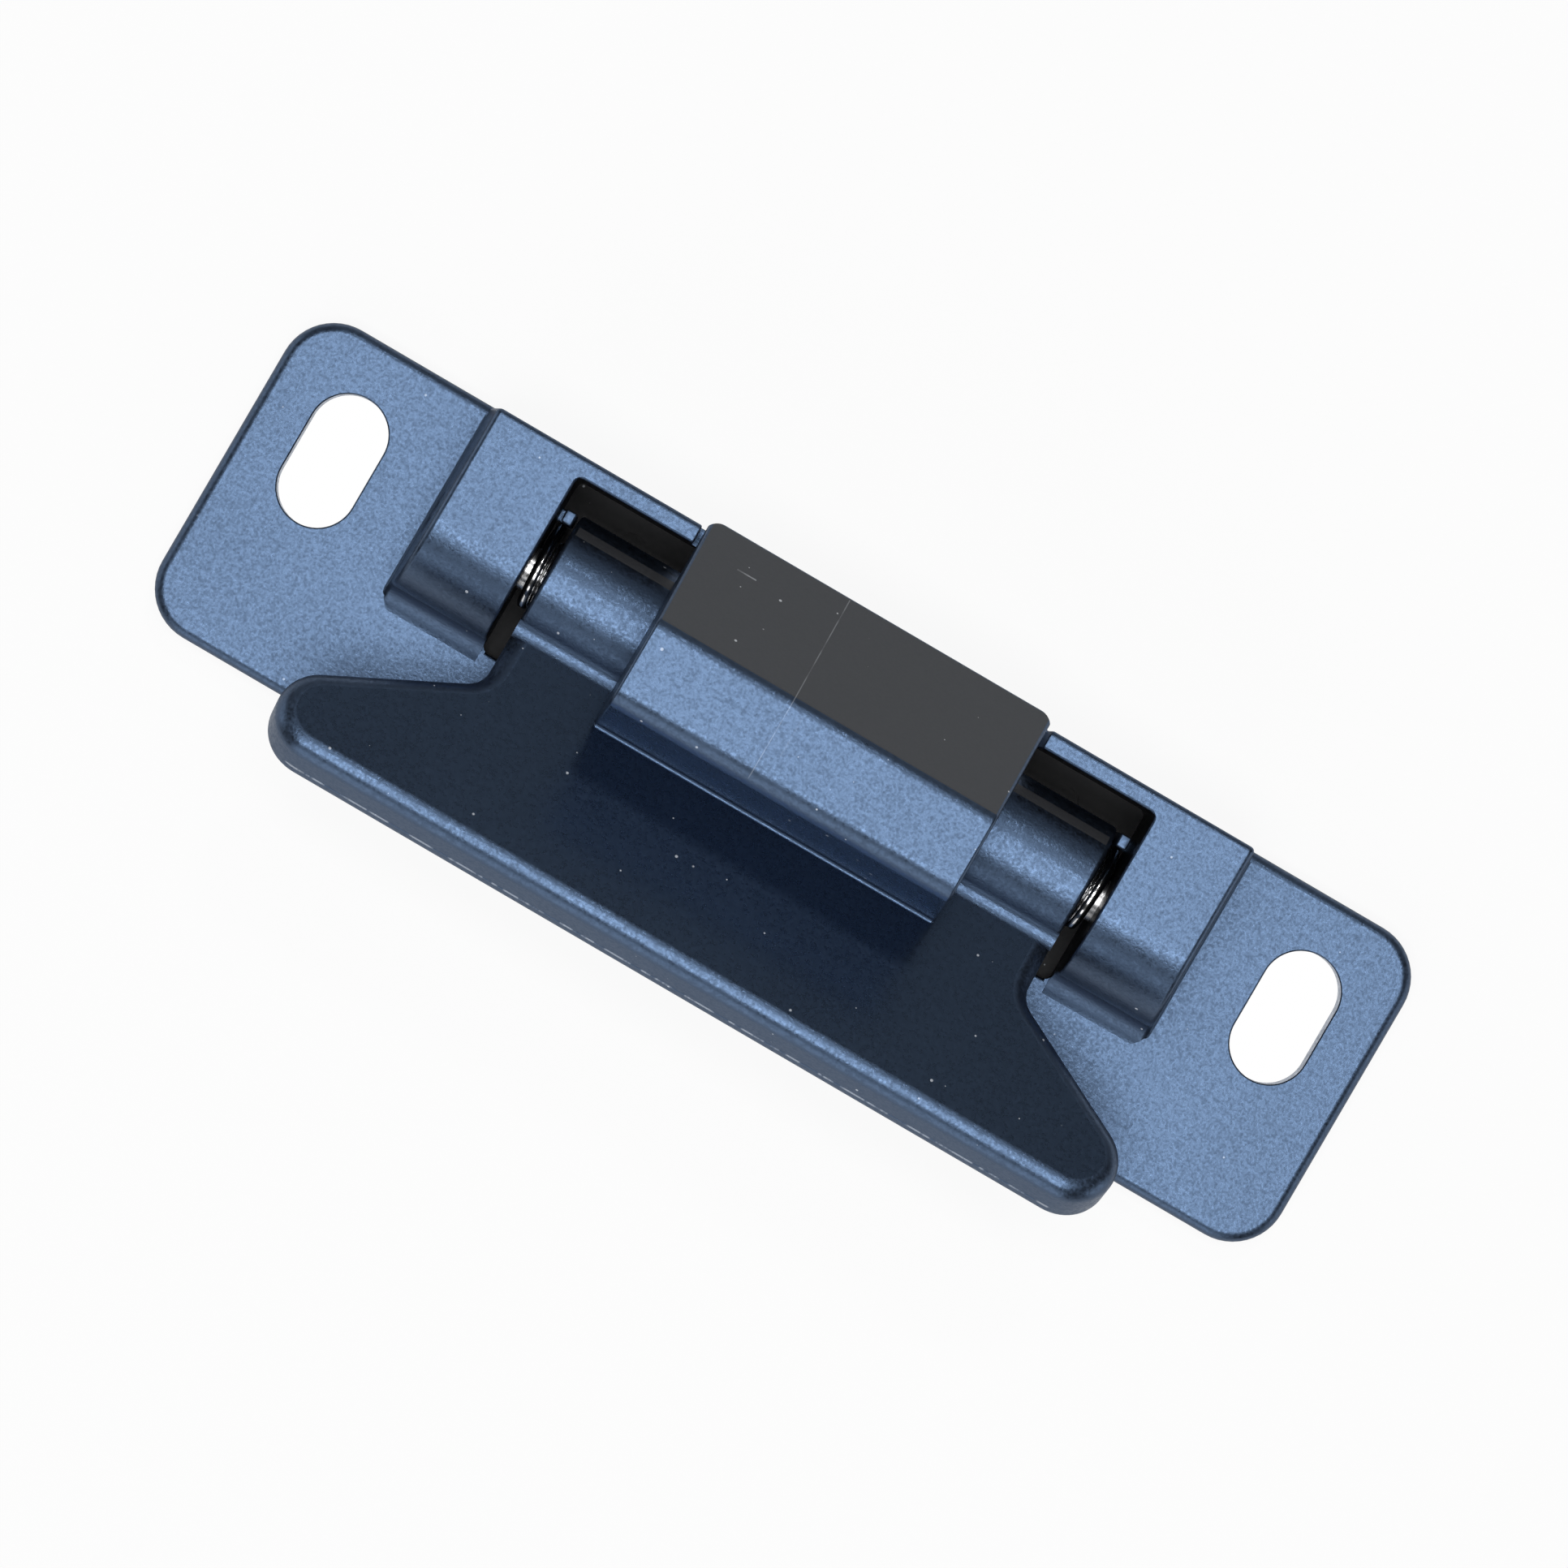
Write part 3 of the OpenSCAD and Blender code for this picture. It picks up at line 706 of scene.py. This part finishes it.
def mixed(tree, share, first, second):
    """Sum of two outputs, the first one at the given share."""
    first_part = compute(tree, "MULTIPLY", first, share)
    second_part = compute(tree, "MULTIPLY", second, 1 - share)
    return compute(tree, "ADD", first_part, second_part)


def distance(tree, first, second):
    """Length of a step with two parts at right angles."""
    squares = [compute(tree, "POWER", part, 2.0) for part in (first, second)]
    return compute(tree, "SQRT", compute(tree, "ADD", *squares))


def fade(tree, value, low, high, start=0.0, end=1.0):
    """Goes smoothly from start to end while the value goes from low to high."""
    node = tree.nodes.new("ShaderNodeMapRange")
    node.interpolation_type = "SMOOTHSTEP"
    for label, setting in (
        ("Value", value), ("From Min", low), ("From Max", high), ("To Min", start), ("To Max", end),
    ):
        feed(tree, node.inputs[label], setting)
    return node.outputs["Result"]


def noise(tree, place, grain, detail=2.0):
    """Cloudy noise whose grains have about the given size."""
    node = tree.nodes.new("ShaderNodeTexNoise")
    feed(tree, node.inputs["Vector"], place)
    node.inputs["Scale"].default_value = 1 / grain
    node.inputs["Detail"].default_value = detail
    return node.outputs["Fac"]


def blend_colour(tree, share, first, second):
    """Mixes two colours."""
    node = tree.nodes.new("ShaderNodeMix")
    node.data_type = "RGBA"
    feed(tree, node.inputs[0], share)
    feed(tree, node.inputs[6], first)
    feed(tree, node.inputs[7], second)
    return node.outputs[2]


def split(tree, place):
    """X, Y and Z of a place."""
    node = tree.nodes.new("ShaderNodeSeparateXYZ")
    feed(tree, node.inputs[0], place)
    return node.outputs


def join(tree, x, y, z):
    """A place made from X, Y and Z."""
    node = tree.nodes.new("ShaderNodeCombineXYZ")
    for socket, value in zip(node.inputs, (x, y, z)):
        feed(tree, socket, value)
    return node.outputs[0]


def object_place(tree):
    """Place in the piece's own coordinates."""
    return tree.nodes.new("ShaderNodeTexCoord").outputs["Object"]


def new_group(name, inputs, outputs):
    """An empty node group; gives its tree, its input node's outputs and its output node's inputs."""
    tree = bpy.data.node_groups.new(name, "ShaderNodeTree")
    for label, kind in inputs.items():
        tree.interface.new_socket(label, in_out="INPUT", socket_type=kind)
    for label, kind in outputs.items():
        tree.interface.new_socket(label, in_out="OUTPUT", socket_type=kind)
    return tree, tree.nodes.new("NodeGroupInput").outputs, tree.nodes.new("NodeGroupOutput").inputs


def add_group(tree, group, **inputs):
    """Puts a node group in a tree and gives its outputs."""
    node = tree.nodes.new("ShaderNodeGroup")
    node.node_tree = group
    for label, value in inputs.items():
        feed(tree, node.inputs[label.replace("_", " ")], value)
    return node.outputs


NUMBER, PLACE = "NodeSocketFloat", "NodeSocketVector"

# Sizes of the finishes' patterns, in millimetres
FINE_GRAIN = 0.19
COARSE_GRAIN = 0.42
SHEEN_PATCH = 9
SPECK_R = 0.15
BASE_SPECK_SPACING = 1.5
LEVER_SPECK_SPACING = 1.25
HAIRLINE_BREAK = 0.9
TURNED_LINE = 0.07
# The flash's pale stretches are a painted highlight where its ridge catches light
FLASH_GLINT_BREAK = 1.6
FLASH_GLINT_R = 0.07
FLASH_GLINT_EDGE = 0.13
PAPER_FIBRE = 0.5
# Scratches on the claw
LONG_SCRATCH = {"Centre": -2.45, "Half_Width": 0.05, "Start": -4.2, "End": 9}
FAINT_SCRATCH = {"Centre": -1.4, "Half_Width": 0.09, "Start": -2, "End": 1}
NICK = {"Centre": 7, "Half_Width": 0.06, "Start": -9.7, "End": -8.3}
# Shares of the fine grain in the height and of the height in the sheen, and how rare large specks are
FINE_SHARE = 0.65
HEIGHT_SHARE = 0.85
SPECK_RARITY = 3.0
# Noise values between which a finish goes from one end of its range to the other
NOISE_LOW, NOISE_HIGH = 0.3, 0.7
PALE_MARK = (0.5, 0.52, 0.55, 1)


def make_grain_group():
    """Fine spark texture of the mould: a height, and how the sheen varies, from 0 to 1."""
    tree, given, result = new_group("mould_grain", {"Place": PLACE}, {"Height": NUMBER, "Sheen": NUMBER})
    fine = noise(tree, given["Place"], FINE_GRAIN * MM, 2.0)
    coarse = noise(tree, given["Place"], COARSE_GRAIN * MM, 1.0)
    broad = noise(tree, given["Place"], SHEEN_PATCH * MM, 3.0)
    height = mixed(tree, FINE_SHARE, fine, coarse)
    feed(tree, result["Height"], height)
    feed(tree, result["Sheen"], mixed(tree, HEIGHT_SHARE, height, broad))
    return tree


def make_dust_group():
    """Loose pale specks, each the cut through a small ball at a random place."""
    tree, given, result = new_group("dust", {"Place": PLACE, "Spacing": NUMBER}, {"Mask": NUMBER})
    cells = tree.nodes.new("ShaderNodeTexVoronoi")
    feed(tree, cells.inputs["Vector"], given["Place"])
    feed(tree, cells.inputs["Scale"], compute(tree, "DIVIDE", 1.0, given["Spacing"]))
    away = compute(tree, "MULTIPLY", cells.outputs["Distance"], given["Spacing"])
    chance = split(tree, cells.outputs["Color"])[0]
    size = compute(tree, "MULTIPLY", compute(tree, "POWER", chance, SPECK_RARITY), SPECK_R * MM)
    feed(tree, result["Mask"], fade(tree, compute(tree, "DIVIDE", away, size), 0.6, 1.0, 1.0, 0.0))
    return tree


def make_hairline_group():
    """A fine straight scratch that comes and goes along its run."""
    inputs = dict.fromkeys(("Along", "Across", "Centre", "Half Width", "Start", "End"), NUMBER)
    tree, given, result = new_group("hairline", inputs, {"Mask": NUMBER})
    off = compute(tree, "ABSOLUTE", compute(tree, "SUBTRACT", given["Across"], given["Centre"]))
    line = fade(tree, compute(tree, "DIVIDE", off, given["Half Width"]), 0.3, 1.0, 1.0, 0.0)
    after = compute(tree, "GREATER_THAN", given["Along"], given["Start"])
    before = compute(tree, "LESS_THAN", given["Along"], given["End"])
    place = join(tree, given["Along"], given["Centre"], 0.0)
    broken = fade(tree, noise(tree, place, HAIRLINE_BREAK * MM, 3.0), 0.3, 0.6, 0.25, 1.0)
    kept = compute(tree, "MULTIPLY", compute(tree, "MULTIPLY", after, before), broken)
    feed(tree, result["Mask"], compute(tree, "MULTIPLY", line, kept))
    return tree


def make_turned_group():
    """Fine lines that run round the pin's axis, from 0 to 1."""
    tree, given, result = new_group("turned_lines", {"Place": PLACE}, {"Lines": NUMBER})
    x, y, z = split(tree, given["Place"])
    off_y = compute(tree, "SUBTRACT", y, AXIS.y * MM)
    off_z = compute(tree, "SUBTRACT", z, AXIS.z * MM)
    place = join(tree, x, distance(tree, off_y, off_z), 0.0)
    feed(tree, result["Lines"], noise(tree, place, TURNED_LINE * MM, 2.0))
    return tree


GRAIN = make_grain_group()
DUST = make_dust_group()
HAIRLINE = make_hairline_group()
TURNED = make_turned_group()


def new_material(name, constants):
    """A material whose shader has the given constants; gives it with its tree and shader."""
    material = bpy.data.materials.new(name)
    material.use_nodes = True
    shader = material.node_tree.nodes["Principled BSDF"]
    for label, value in constants.items():
        shader.inputs[label].default_value = value
    return material, material.node_tree, shader


def shade(colour, share):
    """A colour made darker or lighter."""
    return (*(part * share for part in colour), 1)


def make_plastic(name, constants, colour, roughness, relief, marks):
    """Black moulded plastic with a grain of the given relief in millimetres; marks masks its pale specks,
    among them the lever's painted highlight on the flash.
    """
    material, tree, shader = new_material(name, constants)
    place = object_place(tree)
    grain = add_group(tree, GRAIN, Place=place)
    pale = marks(tree, place)
    body = blend_colour(tree, grain["Sheen"], shade(colour, 0.7), shade(colour, 1.3))
    feed(tree, shader.inputs["Base Color"], blend_colour(tree, pale, body, PALE_MARK))
    feed(tree, shader.inputs["Roughness"], fade(tree, grain["Sheen"], NOISE_LOW, NOISE_HIGH, *roughness))
    bump = tree.nodes.new("ShaderNodeBump")
    bump.inputs["Strength"].default_value = 1.0
    bump.inputs["Distance"].default_value = relief * MM
    feed(tree, bump.inputs["Height"], grain["Height"])
    feed(tree, shader.inputs["Normal"], bump.outputs["Normal"])
    return material


def strongest(tree, masks):
    """The greatest of several masks."""
    total = masks[0]
    for mask in masks[1:]:
        total = compute(tree, "MAXIMUM", total, mask)
    return total


def base_marks(tree, place):
    """Dust alone."""
    return add_group(tree, DUST, Place=place, Spacing=BASE_SPECK_SPACING * MM)["Mask"]


def scratch(tree, along, across, sizes, strength):
    """Mask of one scratch, as strong as given."""
    lengths = {label: size * MM for label, size in sizes.items()}
    mask = add_group(tree, HAIRLINE, Along=along, Across=across, **lengths)["Mask"]
    return compute(tree, "MULTIPLY", mask, strength)


def claw_marks(tree, place):
    """Dust, and the scratches on the claw: one down its whole length and two short ones."""
    x, y, z = split(tree, place)
    lines = strongest(tree, [
        scratch(tree, y, x, LONG_SCRATCH, 0.3),
        scratch(tree, y, x, FAINT_SCRATCH, 0.1),
        scratch(tree, x, y, NICK, 0.5),
    ])
    raised = compute(tree, "GREATER_THAN", z, (AXIS.z + CATCH_Z) * MM)
    dust = add_group(tree, DUST, Place=place, Spacing=LEVER_SPECK_SPACING * MM)["Mask"]
    return strongest(tree, [dust, compute(tree, "MULTIPLY", lines, raised)])


def lever_marks_and_flash_glint(tree, place):
    """The claw's marks, and a painted highlight: broken pale stretches along the flash at the paddle's
    front.
    """
    x, y, z = split(tree, place)
    slope = Vector((0, -math.cos(TILT), math.sin(TILT)))
    ridge = AXIS + slope * PADDLE_REACH + PADDLE_NORMAL * (PADDLE_RISE - PADDLE_THICKNESS + FLASH_HEIGHT)
    off_y = compute(tree, "SUBTRACT", y, ridge.y * MM)
    off_z = compute(tree, "SUBTRACT", z, ridge.z * MM)
    near = fade(tree, distance(tree, off_y, off_z), FLASH_GLINT_R * MM, FLASH_GLINT_EDGE * MM, 1.0, 0.0)
    # Painted highlight along the flash ridge, broken into stretches
    glint_stretches = fade(tree, noise(tree, join(tree, x, 0.0, 0.0), FLASH_GLINT_BREAK * MM, 4.0), 0.46, 0.54)
    flash = compute(tree, "MULTIPLY", compute(tree, "MULTIPLY", near, glint_stretches), 0.6)
    return strongest(tree, [flash, claw_marks(tree, place)])


def make_steel(name, colour, roughness):
    """Bright steel with fine turned or drawn lines."""
    material, tree, shader = new_material(name, {"Metallic": 1.0})
    lines = add_group(tree, TURNED, Place=object_place(tree))["Lines"]
    body = blend_colour(tree, lines, shade(colour, 0.8), shade(colour, 1.1))
    feed(tree, shader.inputs["Base Color"], body)
    feed(tree, shader.inputs["Roughness"], fade(tree, lines, NOISE_LOW, NOISE_HIGH, *roughness))
    return material


def in_pocket(at):
    """True for a place on the pocket's floor or walls, its rim left out."""
    within_x = abs(at.x) < POCKET_X + 2 * SUNK
    within_y = AXIS.y - POCKET_REACH - CLOSE < at.y < REAR_Y - REAR_WALL + CLOSE
    within_z = POCKET_FLOOR - 2 * EJECTOR_DEPTH < at.z < HOUSE_TOP - CLOSE
    return within_x and within_y and within_z


def on_lug(at):
    """True for a place on a spring's lug."""
    return abs(at.x) > LUG_X - CLOSE and LUG_Y - CLOSE < at.y < LUG_Y + LUG_WIDTH + CLOSE


def in_plane(face, normal):
    """True for a face that looks nearly along the normal."""
    return face.normal.angle(normal) < NEAR_NORMAL


def pocket_face(face, corners):
    """True for a face in the pocket that isn't on a lug."""
    return all(in_pocket(at) for at in corners) and not all(on_lug(at) for at in corners)


def ramp_face(face, corners):
    """True for the claw's ramp."""
    return in_plane(face, RAMP_NORMAL)


def front_face(face, corners):
    """True for the paddle's face and the claw's front."""
    in_front = face.center.y < (AXIS.y - BARREL_R) * MM
    return in_front and (in_plane(face, PADDLE_NORMAL) or in_plane(face, FRONT_NORMAL))


def dress(piece, *materials):
    """Gives a piece its materials, the first one all over."""
    piece.data.materials.clear()
    for material in materials:
        piece.data.materials.append(material)


def paint(piece, number, chosen):
    """Gives the faces that the test picks another of the piece's materials."""
    for face in piece.data.polygons:
        corners = [piece.data.vertices[i].co / MM for i in face.vertices]
        if chosen(face, corners):
            face.material_index = number


# Constants of the plastic's shaders, and colours of the plastic; the blue specular tint is the bluish
# overhead light painted into the black plastic's sheen
SATIN = {
    "IOR": 1.8,
    "Specular IOR Level": 1.0,
    "Specular Tint": (0.38, 0.59, 0.97, 1),
}
RUBBED = {
    "IOR": 1.55,
    "Specular Tint": (0.85, 0.92, 1.0, 1),
}
# Low reflectance that darkens the pocket: painted shade
POCKET_SHADE_SHADER = {"IOR": 1.2}
BODY = (0.0055, 0.0062, 0.0085)
# Darker body for the paddle's face and the claw's front: painted shade
FACE_PAINTED_SHADE_BODY = (0.0018, 0.002, 0.0028)
# Lighter grey for the ramp: a painted reflection of the pale floor
RAMP_PAINTED_REFLECTION_BODY = (0.04, 0.0415, 0.046)
SATIN_ROUGHNESS = (0.27, 0.5)
SATIN_RELIEF = 0.022

base_plastic = make_plastic("base_plastic", SATIN, BODY, SATIN_ROUGHNESS, SATIN_RELIEF, base_marks)
lever_plastic = make_plastic("lever_plastic", SATIN, BODY, SATIN_ROUGHNESS, SATIN_RELIEF, lever_marks_and_flash_glint)
# The paddle's face and the claw's front have a finer grain, and a darker body colour that is painted shade
face_plastic_painted_shade = make_plastic(
    "face_plastic_painted_shade", SATIN, FACE_PAINTED_SHADE_BODY, roughness=(0.25, 0.35), relief=0.006, marks=lever_marks_and_flash_glint
)
# The pocket's plastic reflects less, as painted shade in the deep pocket
pocket_plastic_painted_shade = make_plastic(
    "pocket_plastic_painted_shade", POCKET_SHADE_SHADER, BODY, roughness=(0.3, 0.4), relief=0.002, marks=base_marks
)
# The ramp is rubbed plain by the strike, and its lighter grey body colour is a painted reflection of the
# pale floor
ramp_plastic_with_painted_reflection = make_plastic(
    "ramp_plastic_with_painted_reflection", RUBBED, RAMP_PAINTED_REFLECTION_BODY, roughness=(0.4, 0.46), relief=0.004, marks=claw_marks
)
wire_steel = make_steel("wire_steel", colour=(0.78, 0.78, 0.79), roughness=(0.1, 0.2))
pin_steel = make_steel("pin_steel", colour=(0.66, 0.66, 0.67), roughness=(0.24, 0.36))

base = to_metres(make_base())
dress(base, base_plastic, pocket_plastic_painted_shade)
# The pocket's faces get the plastic that reflects less: painted shade
paint(base, 1, pocket_face)
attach(base, "base")
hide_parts("base")

lever = to_metres(make_lever())
dress(lever, lever_plastic, ramp_plastic_with_painted_reflection, face_plastic_painted_shade)
# The ramp's faces get the lighter grey plastic: painted reflection
paint(lever, 1, ramp_face)
# The paddle's face and the claw's front get the darker plastic: painted shade
paint(lever, 2, front_face)
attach(lever, "lever")
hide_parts("lever")

for name, side in (("left_coil", -1), ("right_coil", 1)):
    spring = to_metres(make_spring(name, side))
    dress(spring, wire_steel)
    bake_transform(spring)
    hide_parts(name.replace("coil", "spring"))

dress(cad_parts["pivot_pin"], pin_steel)


# Floor, light and camera, in metres

FLOOR_SIZE = 3.0
FLOOR_GAP = 0.03 * MM
# How far the floor's window lies inside the plate's edge, in millimetres
WINDOW_INSET = 0.4
# Share of white that the camera sees on the paper, and strength of the room's own light
PAPER_WHITE = 0.9
ROOM_LIGHT = 0.04
# Place, width, depth and radiance of each softbox
SOFTBOXES = {
    # The camera hangs in the gap between the two overhead ones
    "rear_softbox": ((0, 0.16, 0.9), 0.5, 0.18, 8.5),
    "front_softbox": ((0, -0.2, 0.9), 0.5, 0.26, 8.0),
    "front_fill": ((0, -1.1, 0.45), 1.0, 0.9, 1.6),
    "left_fill": ((-1.1, 0, 0.25), 0.9, 0.6, 1.2),
    "right_fill": ((1.1, 0, 0.25), 0.9, 0.6, 1.2),
    "under_fill": ((0, 0, -0.9), 1.2, 1.2, 1.5),
    # The lamp casts the claw's shadow on the paddle, and the fill lights the paddle's sides
    "rear_lamp": ((-0.01, 0.588, 0.81), 0.1, 0.1, 25),
    "rear_fill": ((-0.2, 1.1, 0.46), 1.6, 0.34, 0.33),
}
CAMERA_DISTANCE = 0.5
CAMERA_LEAN = math.radians(1.1)
CAMERA_ROLL = math.radians(30.3)
FRAME_WIDTH = 0.1027
TARGET = Vector((0.02, -3.35, PLATE_THICKNESS)) * MM


def make_paper():
    """White paper that the camera sees a little brighter than it is lit."""
    material, tree, shader = new_material("white_paper", {"Roughness": 0.9})
    fibre = noise(tree, object_place(tree), PAPER_FIBRE * MM, 3.0)
    tone = blend_colour(tree, fibre, (0.82, 0.82, 0.82, 1), (0.88, 0.88, 0.88, 1))
    feed(tree, shader.inputs["Base Color"], tone)
    glow = tree.nodes.new("ShaderNodeEmission")
    mix = tree.nodes.new("ShaderNodeMixShader")
    seen = tree.nodes.new("ShaderNodeLightPath").outputs["Is Camera Ray"]
    feed(tree, mix.inputs[0], compute(tree, "MULTIPLY", seen, PAPER_WHITE))
    feed(tree, mix.inputs[1], shader.outputs[0])
    feed(tree, mix.inputs[2], glow.outputs[0])
    feed(tree, tree.nodes["Material Output"].inputs["Surface"], mix.outputs[0])
    return material


def make_room():
    """A dim, even room that the camera sees as white."""
    world = bpy.data.worlds.new("dim_room")
    world.use_nodes = True
    tree = world.node_tree
    dim = tree.nodes["Background"]
    dim.inputs["Color"].default_value = (0.95, 0.98, 1.0, 1)
    dim.inputs["Strength"].default_value = ROOM_LIGHT
    white = tree.nodes.new("ShaderNodeBackground")
    white.inputs["Color"].default_value = (1, 1, 1, 1)
    mix = tree.nodes.new("ShaderNodeMixShader")
    feed(tree, mix.inputs[0], tree.nodes.new("ShaderNodeLightPath").outputs["Is Camera Ray"])
    feed(tree, mix.inputs[1], dim.outputs[0])
    feed(tree, mix.inputs[2], white.outputs[0])
    feed(tree, tree.nodes["World Output"].inputs["Surface"], mix.outputs[0])
    return world


def add_softbox(name, place, width, depth, radiance):
    """An area light of a given radiance that faces the part."""
    light = bpy.data.lights.new(name, "AREA")
    light.shape = "RECTANGLE"
    light.size = width
    light.size_y = depth
    light.energy = radiance * math.pi * width * depth
    lamp = bpy.data.objects.new(name, light)
    lamp.location = place
    lamp.rotation_euler = (-Vector(place)).to_track_quat("-Z", "Y").to_euler()
    lamp.visible_camera = False
    bpy.context.scene.collection.objects.link(lamp)


def make_floor():
    """A sheet with a window, hidden under the plate, so that the mounting face can be seen too."""
    inset = Vector((WINDOW_INSET, WINDOW_INSET, 0))
    low, high = base_low + inset, base_high - inset
    window = rounded([(x, y, PLATE_CORNER - WINDOW_INSET) for x, y in (
        (low.x, low.y), (high.x, low.y), (high.x, high.y), (low.x, high.y),
    )])
    bpy.ops.object.select_all(action="DESELECT")
    bpy.ops.mesh.primitive_circle_add(vertices=len(window), fill_type="NOTHING")
    sheet = bpy.context.object
    sheet.name = "paper_floor"
    for vertex, (x, y) in zip(sheet.data.vertices, window):
        vertex.co = (x * MM, y * MM, -FLOOR_GAP)
    spread = (FLOOR_SIZE / (high.x - low.x) / MM, FLOOR_SIZE / (high.y - low.y) / MM, 1)
    bpy.ops.object.mode_set(mode="EDIT")
    bpy.ops.mesh.select_all(action="SELECT")
    bpy.ops.mesh.extrude_edges_move()
    bpy.ops.transform.resize(value=spread)
    bpy.ops.mesh.select_all(action="SELECT")
    bpy.ops.mesh.normals_make_consistent(inside=False)
    bpy.ops.object.mode_set(mode="OBJECT")
    return sheet


floor = make_floor()
dress(floor, make_paper())
bpy.context.scene.world = make_room()
for name, (place, width, depth, radiance) in SOFTBOXES.items():
    add_softbox(name, place, width, depth, radiance)

back = Vector((-math.sin(CAMERA_LEAN), 0, math.cos(CAMERA_LEAN)))
level_right = Vector((math.cos(CAMERA_LEAN), 0, math.sin(CAMERA_LEAN)))
level_up = Vector((0, 1, 0))
right = level_right * math.cos(CAMERA_ROLL) + level_up * math.sin(CAMERA_ROLL)
up = level_up * math.cos(CAMERA_ROLL) - level_right * math.sin(CAMERA_ROLL)
camera_data = bpy.data.cameras.new("photo_camera")
camera_data.angle = 2 * math.atan(FRAME_WIDTH / 2 / CAMERA_DISTANCE)
camera_data.clip_start = 0.01
camera = bpy.data.objects.new("photo_camera", camera_data)
turn = Matrix((right, up, back)).transposed()
camera.matrix_world = Matrix.Translation(TARGET + back * CAMERA_DISTANCE) @ turn.to_4x4()
bpy.context.scene.collection.objects.link(camera)
bpy.context.scene.camera = camera

bpy.context.scene.view_settings.view_transform = "Standard"
